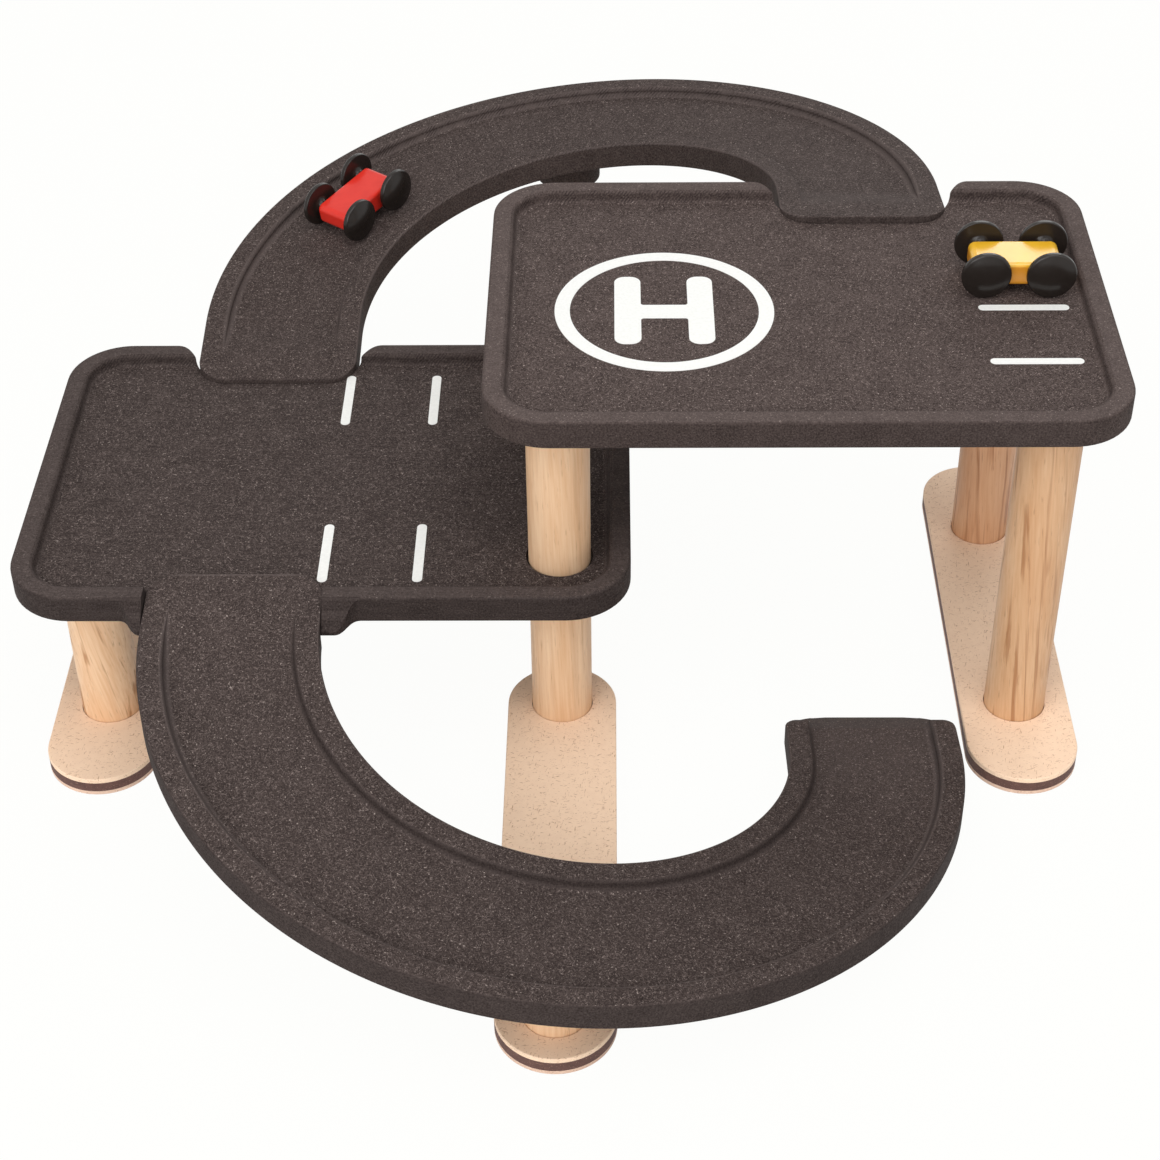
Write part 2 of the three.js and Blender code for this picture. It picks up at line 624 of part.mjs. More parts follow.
function carBody() {
  const shape = roundedRectangle(CAR_LENGTH, CAR_HEIGHT, CAR_ROUND);
  let body = plate(shape, -CAR_WIDTH / 2, CAR_WIDTH, CAR_EDGE, 1, CAR_ARC_POINTS).rotate([90, 0, 0]);
  body = body.translate(0, 0, CAR_GROUND_CLEARANCE + CAR_HEIGHT / 2);
  const bore = AXLE_DIAMETER / 2 + AXLE_CLEARANCE;
  const hole = rod(bore, -CAR_WIDTH, CAR_WIDTH, SMALL_FACETS).rotate([90, 0, 0]);
  for (const x of [-WHEELBASE / 2, WHEELBASE / 2]) body = body.subtract(hole.translate(x, 0, axleZ));
  return body;
}

// A domed disc with a hub that tapers in to the car; its axis is z, outwards, with 0 at the hub's inner end
function wheel() {
  const radius = WHEEL_DIAMETER / 2;
  const outer = HUB_LENGTH + WHEEL_THICKNESS;
  const disc = turned([
    [0, 0],
    [HUB_DIAMETER / 2, 0],
    [HUB_ROOT_DIAMETER / 2, HUB_LENGTH],
    [radius, HUB_LENGTH],
    [radius, outer - WHEEL_EDGE],
    [radius - WHEEL_EDGE, outer],
    [WHEEL_DOME_RING, outer + WHEEL_DOME * WHEEL_DOME_SHARE],
    [0, outer + WHEEL_DOME],
  ]);
  const bore = rod(AXLE_DIAMETER / 2 + AXLE_CLEARANCE, -HUB_LENGTH, AXLE_SEAT + AXLE_CLEARANCE, SMALL_FACETS);
  return disc.subtract(bore);
}

function car(name, bodyPaint) {
  const group = new THREE.Group();
  group.add(meshOf(`${name}_body`, carBody(), bodyPaint));
  const wheelAway = hubOuter - HUB_LENGTH;
  for (const [end, x] of [['front', WHEELBASE / 2], ['rear', -WHEELBASE / 2]]) {
    const axle = rod(AXLE_DIAMETER / 2, -axleHalf, axleHalf, SMALL_FACETS).rotate([90, 0, 0]);
    group.add(meshOf(`${name}_${end}_axle`, axle.translate(x, 0, axleZ), blackPlastic));
    for (const [hand, side] of [['left', 1], ['right', -1]]) {
      const turnedOut = wheel().rotate([-90 * side, 0, 0]);
      const placed = turnedOut.translate(x, wheelAway * side, axleZ);
      group.add(meshOf(`${name}_${end}_${hand}_wheel`, placed, blackPlastic));
    }
  }
  return group;
}

// Assembly
const garage = new THREE.Group();

garage.add(meshOf('upper_deck', upperDeck(), darkBoard));
garage.add(meshOf('lower_deck', lowerDeck(), darkBoard));
garage.add(meshOf('back_ramp', backRamp(), darkBoard));
garage.add(meshOf('back_ramp_boss', rampBoss(backLine), darkBoard));

const frontSide = new THREE.Group();
frontSide.rotation.z = Math.PI;
frontSide.add(meshOf('front_ramp', frontRamp(), darkBoard));
frontSide.add(meshOf('front_ramp_boss', rampBoss(frontLine), darkBoard));
garage.add(frontSide);

const lowerTop = LOWER_DECK_Z + SOCKET_DEPTH;
const upperTop = UPPER_DECK_Z + SOCKET_DEPTH;
const recessZ = LOWER_FLOOR_Z - RECESS_DEPTH;
const standing = [
  { name: 'left_front', x: -POST_X, y: -POST_Y, top: lowerTop },
  { name: 'left_back', x: -POST_X, y: POST_Y, top: lowerTop },
  { name: 'middle_front_lower', x: 0, y: -POST_Y, top: lowerTop, pegAbove: true },
  { name: 'middle_back_lower', x: 0, y: POST_Y, top: lowerTop, pegAbove: true },
  { name: 'right_front', x: POST_X, y: -POST_Y, top: upperTop },
  { name: 'right_back', x: POST_X, y: POST_Y, top: upperTop },
  { name: 'front_ramp', x: 0, y: -RAMP_POST_Y, top: bossBottom(frontLine) + BOSS_SOCKET },
  { name: 'back_ramp', x: 0, y: RAMP_POST_Y, top: bossBottom(backLine) + BOSS_SOCKET },
];
for (const { name, x, y, top, pegAbove } of standing) {
  const body = post(POST_BOTTOM, top, { pilot: true, pegAbove });
  garage.add(meshOf(`${name}_post`, body.translate(x, y, 0), postWood));
  garage.add(meshOf(`${name}_screw`, screw().translate(x, y, 0), screwSteel));
}

for (const [name, y] of [['middle_front', -POST_Y], ['middle_back', POST_Y]]) {
  const body = post(recessZ, upperTop, { pegBelow: true });
  garage.add(meshOf(`${name}_upper_post`, body.translate(0, y, 0), postWood));
  const pegEnd = PEG_REACH - PEG_CLEARANCE;
  const peg = rod(PEG_DIAMETER / 2, lowerTop - pegEnd, recessZ + pegEnd, SMALL_FACETS);
  garage.add(meshOf(`${name}_peg`, peg.translate(0, y, 0), postWood));
}

const middleFootY = (POST_Y + RAMP_POST_Y) / 2;
const middlePosts = (RAMP_POST_Y - POST_Y) / 2;
const feet = [
  { name: 'left', x: -POST_X, y: 0, at: POST_Y },
  { name: 'right', x: POST_X, y: 0, at: POST_Y },
  { name: 'middle_front', x: 0, y: -middleFootY, at: middlePosts },
  { name: 'middle_back', x: 0, y: middleFootY, at: middlePosts },
];
for (const { name, x, y, at } of feet) {
  const { top, core, base } = footLayers([-at, at]);
  garage.add(meshOf(`${name}_foot_top`, top.translate(x, y, 0), paleBoard));
  garage.add(meshOf(`${name}_foot_core`, core.translate(x, y, 0), brownBoard));
  garage.add(meshOf(`${name}_foot_base`, base.translate(x, y, 0), paleBoard));
}

const yellowCar = car('yellow_car', yellowPaint);
yellowCar.position.set(
  DECK_MIDDLE_X + DECK_LENGTH / 2 - PARK_INSET, DECK_SHIFT + PARK_OFFSET, UPPER_FLOOR_Z + PARK_GAP);
garage.add(yellowCar);

// The red car points down the ramp, square to its floor
const redCar = car('red_car', redPaint);
const carAngle = THREE.MathUtils.degToRad(RAMP_CAR_ANGLE);
const carAlong = BACK_TOP_STRAIGHT + RAMP_RADIUS * carAngle;
const carRadius = RAMP_RADIUS - RAMP_CAR_INWARD;
const drop = backLine.fall * RAMP_RADIUS;
const forwards = new THREE.Vector3(
  -carRadius * Math.sin(carAngle), carRadius * Math.cos(carAngle), -drop).normalize();
const inwards = new THREE.Vector3(-Math.cos(carAngle), -Math.sin(carAngle), 0);
const upwards = new THREE.Vector3().crossVectors(forwards, inwards);
const stand = backLine.point(carAlong, -RAMP_CAR_INWARD, -CHANNEL_DEPTH);
redCar.applyMatrix4(new THREE.Matrix4().makeBasis(forwards, inwards, upwards));
redCar.position.copy(stand.addScaledVector(upwards, RAMP_CAR_GAP));
garage.add(redCar);

export default garage;
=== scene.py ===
# The looks of a wooden toy parking garage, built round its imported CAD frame. Metres, +Z up.
import json
import math

import bmesh
import bpy
from mathutils import Matrix, Vector


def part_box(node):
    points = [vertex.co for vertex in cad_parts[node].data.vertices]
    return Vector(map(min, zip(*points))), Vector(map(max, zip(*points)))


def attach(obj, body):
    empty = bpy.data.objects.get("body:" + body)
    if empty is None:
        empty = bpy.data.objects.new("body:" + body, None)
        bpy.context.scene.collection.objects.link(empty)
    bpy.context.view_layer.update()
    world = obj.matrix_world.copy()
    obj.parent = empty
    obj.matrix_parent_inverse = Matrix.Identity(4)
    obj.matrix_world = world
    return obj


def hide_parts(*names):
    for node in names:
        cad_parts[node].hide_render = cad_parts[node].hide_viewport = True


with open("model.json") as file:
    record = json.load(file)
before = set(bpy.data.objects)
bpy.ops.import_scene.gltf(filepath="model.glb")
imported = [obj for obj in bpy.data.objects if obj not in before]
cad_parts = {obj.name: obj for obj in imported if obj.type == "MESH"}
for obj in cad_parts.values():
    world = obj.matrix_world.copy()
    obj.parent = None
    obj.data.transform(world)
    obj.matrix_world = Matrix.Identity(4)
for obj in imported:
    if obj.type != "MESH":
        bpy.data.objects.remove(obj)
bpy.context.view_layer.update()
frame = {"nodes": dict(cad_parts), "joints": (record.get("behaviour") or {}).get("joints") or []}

ROOT = "garage"

# Sizes that the frame's boxes don't give
TRAY_DEPTH = 0.005
RIM_FLAT = 0.0065
RIM_EDGE = 0.0024
RIM_COVE = 0.0030
RIM_WIDTH = RIM_FLAT + RIM_EDGE + RIM_COVE
RIM_EDGE_SHARE = 0.45
DECK_CORNER = 0.026
DECK_EDGE = 0.0012
POST_EDGE = 0.0007
SOCKET_DEPTH = 0.003
SOCKET_CLEARANCE = 0.0003
RECESS_DEPTH = 0.002
RECESS_CLEARANCE = 0.001
RAMP_OFFSET = 0.0325
RAMP_WIDTH = 0.070
RAMP_THICKNESS = 0.012
RAMP_EDGE = 0.0010
CHANNEL_DEPTH = 0.0045
CHANNEL_RIM = 0.008
CHANNEL_EDGE = 0.0020
CHANNEL_COVE = 0.0030
CHANNEL_START = 0.013
CHANNEL_RUN_IN = 0.030
BACK_TOP_STRAIGHT = 0.0365
FRONT_TOP_STRAIGHT = 0.027
GROUND_STRAIGHT = 0.0402
LIP_HEIGHT_BELOW = 0.0022
LIP_LAP = 0.0065
LIP_CORNER = 0.013
LIP_FADE = 0.060
GROUND_CHAMFER = 0.017
GROUND_TIP = 0.001
GROUND_CORNER = 0.020
NOSE_START = 0.024
NOSE_LENGTH = 0.012
NOSE_LEFT = 0.0002
NOSE_CORNER = 0.005
LAP_GAP = 0.0003
NOTCH_MOUTH = 0.011
NOTCH_TUCK = 0.007
TONGUE_REACH = 0.0089
TONGUE_SIDE = 0.005
TONGUE_SIDE_OUTER = 0.0005
TONGUE_FILLET = 0.010
SEAT_REACH = 0.018
SEAT_TIP = 0.0018
SHOULDER_START = 0.001
SHOULDER_TIP = 0.0024
BOSS_SOCKET = 0.010
BOSS_SKIRT = 0.0015
FOOT_EDGE = 0.0005
CAR_LENGTH = 0.036
CAR_WIDTH = 0.019
CAR_HEIGHT = 0.010
CAR_CORNER = 0.003
CAR_EDGE = 0.0018
CAR_GROUND_CLEARANCE = 0.0032
WHEEL_RADIUS = 0.010
WHEEL_THICKNESS = 0.0026
WHEEL_DOME = 0.0014
WHEEL_EDGE = 0.0011
HUB_LENGTH = 0.0017
HUB_RADIUS = 0.0025
HUB_ROOT_RADIUS = 0.0045
HUB_GAP = 0.0003
HUB_BEVEL = 0.0003
HUB_COLLAR_SHARE = 0.12
AXLE_BORE = 0.00165
AXLE_SEAT = 0.00315
BORE_BEVEL = 0.0002
DOME_POWER = 2.4
DOME_POLE = 0.0004
SIGN_THICKNESS = 0.00015
CUT_PAST = 0.006
SAME_PLACE = 1e-6

# Smoothness of round forms
ROUND_SEGMENTS = 72
CORNER_STEPS = 14
FOOT_END_STEPS = 42
SMALL_CORNER_STEPS = 8
FILLET_STEPS = 6
EDGE_STEPS = 4
WHEEL_EDGE_STEPS = 6
HUB_STEPS = 6
DOME_STEPS = 8
COVE_STEPS = 9
RIM_STEPS = 6
FLOOR_STEPS = 4
RAMP_ARC_STEPS = 120
LIP_STEPS = 60
BOSS_TOP_SHARES = (1.0, 0.75, 0.5, 0.25, 0.05)
SHARP_ANGLE = math.radians(32)

# Places that follow from the frame
upper_low, upper_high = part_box("upper_deck")
lower_low, lower_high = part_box("lower_deck")
ramp_low, ramp_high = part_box("back_ramp")
DECK_LENGTH = upper_high.x - upper_low.x
DECK_WIDTH = upper_high.y - upper_low.y
DECK_THICKNESS = upper_high.z - upper_low.z
UPPER_MIDDLE = Vector(((upper_low.x + upper_high.x) / 2, (upper_low.y + upper_high.y) / 2, upper_low.z))
LOWER_MIDDLE = Vector((-UPPER_MIDDLE.x, -UPPER_MIDDLE.y, lower_low.z))
UPPER_FLOOR = upper_high.z - TRAY_DEPTH
LOWER_FLOOR = lower_high.z - TRAY_DEPTH
RAMP_HALF = RAMP_WIDTH / 2
RAMP_RADIUS = (ramp_high.x - ramp_low.x) / 2 - RAMP_HALF
RAMP_CENTRE_Y = ramp_high.y - RAMP_RADIUS - RAMP_HALF
LOWER_STRAIGHT = RAMP_CENTRE_Y - ramp_low.y
NOTCH_MOUTH_HALF = RAMP_HALF + NOTCH_MOUTH
NOTCH_FOOT_HALF = RAMP_HALF - NOTCH_TUCK
TONGUE_HALF = RAMP_HALF + TONGUE_SIDE
TONGUE_HALF_OUTER = RAMP_HALF + TONGUE_SIDE_OUTER
EDGE_FAR = UPPER_MIDDLE.y + DECK_WIDTH / 2
EDGE_NEAR = DECK_WIDTH / 2 - UPPER_MIDDLE.y


# Outlines
def arc(x, y, radius, start, end, steps=CORNER_STEPS):
    turn = [math.radians(start + (end - start) * i / steps) for i in range(steps + 1)]
    return [(x + radius * math.cos(a), y + radius * math.sin(a)) for a in turn]


def soft_step(x0, y0, x1, y1, steps=2 * CORNER_STEPS):
    """An S-curve from one point to the other, along x at both ends."""
    middle = (x0 + x1) / 2
    points = []
    for i in range(steps + 1):
        t = i / steps
        a, b, c, d = (1 - t) ** 3, 3 * t * (1 - t) ** 2, 3 * t * t * (1 - t), t ** 3
        points.append((a * x0 + (b + c) * middle + d * x1, (a + b) * y0 + (c + d) * y1))
    return points


def rounded_rectangle(length, width, radius, steps=CORNER_STEPS):
    x = length / 2 - radius
    y = width / 2 - radius
    return (arc(x, y, radius, 0, 90, steps) + arc(-x, y, radius, 90, 180, steps)
            + arc(-x, -y, radius, 180, 270, steps) + arc(x, -y, radius, 270, 360, steps))


def filleted(corners, steps=FILLET_STEPS):
    """A polygon with each corner (x, y, radius) rounded."""
    points = []
    for i, (x, y, radius) in enumerate(corners):
        here = Vector((x, y))
        before = (Vector(corners[i - 1][:2]) - here).normalized()
        after = (Vector(corners[(i + 1) % len(corners)][:2]) - here).normalized()
        half = before.angle(after) / 2
        reach = radius / math.tan(half)
        centre = here + (before + after).normalized() * (radius / math.sin(half))
        start = here + before * reach - centre
        end = here + after * reach - centre
        turn = start.angle_signed(end)
        for k in range(steps + 1):
            swung = start.copy()
            swung.rotate(Matrix.Rotation(-turn * k / steps, 2))
            points.append(tuple(centre + swung))
    return points


def moved(points, x, y):
    return [(px + x, py + y) for px, py in points]


def inset(points, distance):
    """A closed anticlockwise outline, moved inwards."""
    result = []
    for i, (x, y) in enumerate(points):
        before = points[i - 1]
        after = points[(i + 1) % len(points)]
        along = Vector((after[0] - before[0], after[1] - before[1])).normalized()
        result.append((x - along.y * distance, y + along.x * distance))
    return result


def without_doubles(points):
    return [p for i, p in enumerate(points) if (Vector(p) - Vector(points[i - 1])).length > SAME_PLACE]


# Meshes
def mesh_object(name, vertices, faces):
    mesh = bpy.data.meshes.new(name)
    mesh.from_pydata([tuple(v) for v in vertices], [], faces)
    made = bpy.data.objects.new(name, mesh)
    bpy.context.scene.collection.objects.link(made)
    return made


def stacked(name, rings, cap=True):
    """Closed rings of equal length joined one to the next, with flat caps."""
    size = len(rings[0])
    vertices = [v for ring in rings for v in ring]
    faces = []
    for i in range(len(rings) - 1):
        for j in range(size):
            k = (j + 1) % size
            faces.append((i * size + j, i * size + k, (i + 1) * size + k, (i + 1) * size + j))
    if cap:
        faces.append(tuple(reversed(range(size))))
        faces.append(tuple(range((len(rings) - 1) * size, len(rings) * size)))
    return mesh_object(name, vertices, faces)


def edge_round(radius, steps=EDGE_STEPS):
    """Pairs (inset, depth) of a quarter round, from the side up to the face."""
    turn = [math.pi / 2 * i / steps for i in range(steps + 1)]
    return [(radius * (1 - math.cos(a)), radius * (1 - math.sin(a))) for a in turn]


def quarter_turn():
    return [math.pi / 2 * i / COVE_STEPS for i in range(COVE_STEPS + 1)]


def layered(name, outline, levels):
    """An outline drawn up through levels of (inset, height)."""
    outline = without_doubles(outline)
    return stacked(name, [[(x, y, z) for x, y in inset(outline, i)] for i, z in levels])


def plate(name, outline, bottom, top, low_edge=0.0, high_edge=0.0):
    """A flat piece with the edge of each face rounded."""
    levels = [(i, bottom + d) for i, d in reversed(edge_round(low_edge))] if low_edge else [(0, bottom)]
    levels += [(i, top - d) for i, d in edge_round(high_edge)] if high_edge else [(0, top)]
    return layered(name, outline, levels)


def turned(name, profile, segments=ROUND_SEGMENTS):
    """A profile of (radius, height) turned about z, from its lower pole to its upper one."""
    rings = []
    for radius, height in profile:
        turn = [2 * math.pi * i / segments for i in range(segments)]
        rings.append([(radius * math.cos(a), radius * math.sin(a), height) for a in turn])
    return stacked(name, rings)


def cylinder(radius, bottom, top, x=0.0, y=0.0):
    made = turned("cutter", [(radius, bottom), (radius, top)])
    made.data.transform(Matrix.Translation((x, y, 0)))
    return made


def prism_along_x(profile, low, high):
    """An outline in (y, z), anticlockwise seen from +x, drawn out along x."""
    return stacked("cutter", [[(x, y, z) for y, z in profile] for x in (low, high)])


def cut(piece, cutter):
    step = piece.modifiers.new("cut", "BOOLEAN")
    step.object = cutter
    step.operation = "DIFFERENCE"
    step.solver = "EXACT"
    seen = piece.evaluated_get(bpy.context.evaluated_depsgraph_get())
    result = bpy.data.meshes.new_from_object(seen)
    piece.modifiers.clear()
    piece.data = result
    bpy.data.objects.remove(cutter)


def round_node(node):
    """A round node's middle and radius."""
    low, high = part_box(node)
    return (low + high) / 2, (high.x - low.x) / 2


def cut_round(piece, node, clearance, bottom, top, origin=Vector((0, 0, 0))):
    """Cuts room for a round node between two heights of a piece that is drawn about an origin."""
    middle, radius = round_node(node)
    at = middle - origin
    cut(piece, cylinder(radius + clearance, bottom, top, at.x, at.y))


def finished(piece, material, body, nodes=()):
    """Gives a piece its shading, its material and its body, and hides the CAD nodes that it stands for."""
    work = bmesh.new()
    work.from_mesh(piece.data)
    bmesh.ops.remove_doubles(work, verts=work.verts, dist=SAME_PLACE)
    bmesh.ops.dissolve_degenerate(work, edges=work.edges, dist=SAME_PLACE)
    bmesh.ops.recalc_face_normals(work, faces=work.faces)
    for face in work.faces:
        face.smooth = True
    for edge in work.edges:
        edge.smooth = len(edge.link_faces) == 2 and edge.calc_face_angle(0) < SHARP_ANGLE
    work.to_mesh(piece.data)
    work.free()
    piece.data.materials.clear()
    piece.data.materials.append(material)
    weighted = piece.modifiers.new("even shading", "WEIGHTED_NORMAL")
    weighted.keep_sharp = True
    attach(piece, body)
    if nodes:
        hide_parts(*nodes)


# Colours as they look in plain light, from 0 to 255
BOARD_DARK = (53, 43, 40.5)
BOARD_LIGHT = (95, 82, 78)
# Painted shade on upright front faces, and the colour of the cutter's ticks
BOARD_SHADE_AND_TICKS = (44, 35, 34)
# Paler board for rubbed outer walls, and for the painted highlight along the lip
BOARD_RUBBED_AND_HIGHLIT = (134, 120, 116)
# Paler board for sanded rims, and for painted light at a ramp's end near the ground
BOARD_SANDED_AND_LIT = (126, 112, 108)
# Paler board for worn edges, which also paints their highlight
BOARD_WORN_HIGHLIT = (120, 106, 102)
FLECK_PALE = (164, 147, 141)
FLECK_DULL = (108, 94, 90)
FLECK_BRIGHT = (192, 176, 168)
WOOD_DARK = (230, 185, 143)
WOOD_LIGHT = (245, 209, 172)
WOOD_LINE = (180, 124, 78)
WOOD_PORE = (162, 112, 72)

# Where a board's finish, its painted highlights, painted light and painted shade change, in millimetres, and
# how strong each change is
PER_METRE = 1000
LIP_Y = (FRONT_TOP_STRAIGHT - RAMP_CENTRE_Y) * PER_METRE
# Painted highlight along the front ramp's upper lip: where it lies, how high and how strong
LIP_HIGHLIGHT_BAND = (LIP_Y - 1.7, LIP_Y - 1.1)
FRONT_HALF = (-60.0, -70.0)
LIP_HIGHLIGHT_HEIGHTS = (60.0, 70.0)
LIP_HIGHLIGHT_SHARE = 0.4
# How much the outer walls are lightened, as rubbing wear and as painted light
RUBBED_AND_LIT_SHARE = 0.35
# Painted light on a ramp's level end near the ground: heights and strength
LIT_END_HEIGHTS = (22.0, 10.0)
LIT_END_SHARE = 0.3
# Painted shade on upright faces at the front: where it starts along y, and how strong
FRONT_FACES = (-80.0, -86.0)
FRONT_SHADE_SHARE = 0.3
BACK_WALLS = (40.0, 50.0)
TICK_PITCH = 1.5
TICK_SHARE = 0.8
SANDED_SHARE = 0.25
FLECK_SHARE = 0.85
# How much rounded edges are lightened, as wear and as painted highlight
WORN_AND_HIGHLIT_SHARE = 0.2
SPECK_SHARE = 0.75
PORE_SHARE = 0.4
NOISE_SPAN = (0.3, 0.7)


# Materials
def srgb(red, green, blue):
    values = [v / 255 for v in (red, green, blue)]
    linear = [v / 12.92 if v <= 0.04045 else ((v + 0.055) / 1.055) ** 2.4 for v in values]
    return (*linear, 1.0)


def stained(red_share, green_share, blue_share):
    """A function that gives colours lowered by these shares."""

    def tint(colour):
        red, green, blue = colour
        return srgb(red * red_share, green * green_share, blue * blue_share)

    return tint


class Paint:
    """A material laid out in short calls: add() makes a node and links or sets its inputs."""

    def __init__(self, name, **constants):
        self.material = bpy.data.materials.new(name)
        self.material.use_nodes = True
        self.tree = self.material.node_tree
        self.shader = self.tree.nodes["Principled BSDF"]
        sockets = {"roughness": "Roughness", "specular": "Specular IOR Level", "metallic": "Metallic"}
        for key, value in constants.items():
            self.shader.inputs[sockets[key]].default_value = value
        self.place = self.add("ShaderNodeTexCoord").outputs["Object"]

    def add(self, kind, inputs=None, **settings):
        node = self.tree.nodes.new(kind)
        for key, value in settings.items():
            setattr(node, key, value)
        for key, value in (inputs or {}).items():
            if isinstance(value, bpy.types.NodeSocket):
                self.tree.links.new(value, node.inputs[key])
            else:
                node.inputs[key].default_value = value
        return node

    def set(self, name, value):
        self.tree.links.new(value, self.shader.inputs[name])

    def math(self, operation, *values):
        return self.add("ShaderNodeMath", dict(enumerate(values)), operation=operation).outputs[0]

    def vector_math(self, operation, *values):
        return self.add("ShaderNodeVectorMath", dict(enumerate(values)), operation=operation)

    def plus(self, first, second):
        return self.math("ADD", first, second)

    def minus(self, first, second):
        return self.math("SUBTRACT", first, second)

    def times(self, product, *values):
        for value in values:
            product = self.math("MULTIPLY", product, value)
        return product

    def mix(self, share, first, second):
        node = self.add("ShaderNodeMix", {0: share, 6: first, 7: second}, data_type="RGBA")
        return node.outputs[2]

    def ramp(self, value, low, high, low_to=0.0, high_to=1.0):
        inputs = {"Value": value, "From Min": low, "From Max": high, "To Min": low_to, "To Max": high_to}
        return self.add("ShaderNodeMapRange", inputs).outputs[0]

    def spread(self, noise, low_to=0.0, high_to=1.0):
        """The middle values of a noise, spread over a range."""
        return self.ramp(noise, *NOISE_SPAN, low_to, high_to)

    def scaled(self, rotation, scale):
        """Places turned by angles in degrees and then scaled."""
        angles = [math.radians(angle) for angle in rotation]
        turned_place = self.add("ShaderNodeMapping", {"Vector": self.place, "Rotation": angles})
        return self.add("ShaderNodeMapping", {"Vector": turned_place.outputs[0], "Scale": scale}).outputs[0]

    def millimetres(self, stretch=(1, 1, 1), turn=0.0):
        """Places in millimetres, turned about z and then stretched."""
        return self.scaled((0, 0, turn), [PER_METRE / s for s in stretch])

    def grain(self, tilt, stretch):
        """Places in millimetres along a grain that leans from z by tilt, squeezed along it."""
        return self.scaled((0, tilt, 0), (PER_METRE, PER_METRE, PER_METRE / stretch))

    def noise(self, size, detail=3.0, stretch=(1, 1, 1), turn=0.0):
        """Soft noise with blots about size millimetres across."""
        inputs = {"Vector": self.millimetres(stretch, turn), "Scale": 1 / size, "Detail": detail}
        return self.add("ShaderNodeTexNoise", inputs).outputs["Fac"]

    def with_strands(self, dots, size, stretch, turns, low, high):
        """Dots together with short fibres that lie in several directions."""
        for turn in turns:
            strand = self.ramp(self.noise(size, 1.0, stretch, turn), low, high)
            dots = self.math("MAXIMUM", dots, strand)
        return dots

    def parts(self, vector):
        return self.add("ShaderNodeSeparateXYZ", {"Vector": vector}).outputs

    def normal(self):
        return self.add("ShaderNodeNewGeometry").outputs["Normal"]

    def slope(self):
        """How far a face looks up: 1 for level, 0 for upright."""
        return self.parts(self.normal())["Z"]

    def height_from(self, height):
        """How many millimetres a place is above or below a height."""
        z = self.parts(self.millimetres())["Z"]
        return self.math("ABSOLUTE", self.minus(z, height * PER_METRE))

    def cutter_marks(self, slope):
        """Slanting ticks along the walls at the back that look to the front."""
        place = self.parts(self.millimetres())
        facing = self.ramp(self.parts(self.normal())["Y"], -0.3, -0.6)
        wall = self.times(facing, self.ramp(slope, 0.05, 0.2), self.ramp(place["Y"], *BACK_WALLS))
        along = self.plus(self.minus(place["X"], place["Z"]), self.noise(4.0))
        wave = self.math("SINE", self.times(along, 2 * math.pi / TICK_PITCH))
        ticks = self.times(self.ramp(wave, -0.2, 0.9), self.ramp(self.noise(6.0), 0.35, 0.6))
        return self.times(ticks, wall, TICK_SHARE)

    def rubbed_lit_walls(self, slope):
        """1 on a ramp's outer walls, which look to the middle of their half ring: rubbed by cars, and
        lightened also as painted light against their shade.
        """
        place = self.parts(self.place)
        side = self.math("SIGN", place["Y"])
        past = self.minus(self.times(place["Y"], side), RAMP_CENTRE_Y)
        past = self.times(self.math("MAXIMUM", past, 0.0), side)
        outwards = self.add("ShaderNodeCombineXYZ", {"X": place["X"], "Y": past}).outputs[0]
        outwards = self.vector_math("NORMALIZE", outwards).outputs[0]
        facing = self.vector_math("DOT_PRODUCT", outwards, self.normal()).outputs["Value"]
        return self.times(self.ramp(facing, -0.12, -0.35), self.ramp(slope, 0.1, 0.3))

    def bump(self, height, distance, strength):
        inputs = {"Height": height, "Distance": distance, "Strength": strength}
        self.set("Normal", self.add("ShaderNodeBump", inputs).outputs[0])


def ramp_wear_and_painted_light(paint, ground, slope, tint):
    """Wear and painted light on a ramp: a painted highlight along the front ramp's upper lip, outer walls
    made paler as rubbing wear and as painted light, and painted light on the level end near the ground.
    """
    place = paint.parts(paint.millimetres())
    # Painted highlight: a pale band along the front ramp's upper lip
    lip = paint.times(paint.ramp(place["Y"], *LIP_HIGHLIGHT_BAND), paint.ramp(place["Y"], *FRONT_HALF),
                      paint.ramp(place["Z"], *LIP_HIGHLIGHT_HEIGHTS), LIP_HIGHLIGHT_SHARE)
    # Outer walls made paler: partly rubbing wear, partly painted light
    lit_walls = paint.times(paint.rubbed_lit_walls(slope), RUBBED_AND_LIT_SHARE)
    ground = paint.mix(paint.math("MAXIMUM", lip, lit_walls), ground, tint(BOARD_RUBBED_AND_HIGHLIT))
    # Painted light: level faces near the ground are made paler
    painted_end_light = paint.times(paint.ramp(place["Z"], *LIT_END_HEIGHTS), paint.ramp(slope, 0.8, 0.9), LIT_END_SHARE)
    return paint.mix(painted_end_light, ground, tint(BOARD_SANDED_AND_LIT))


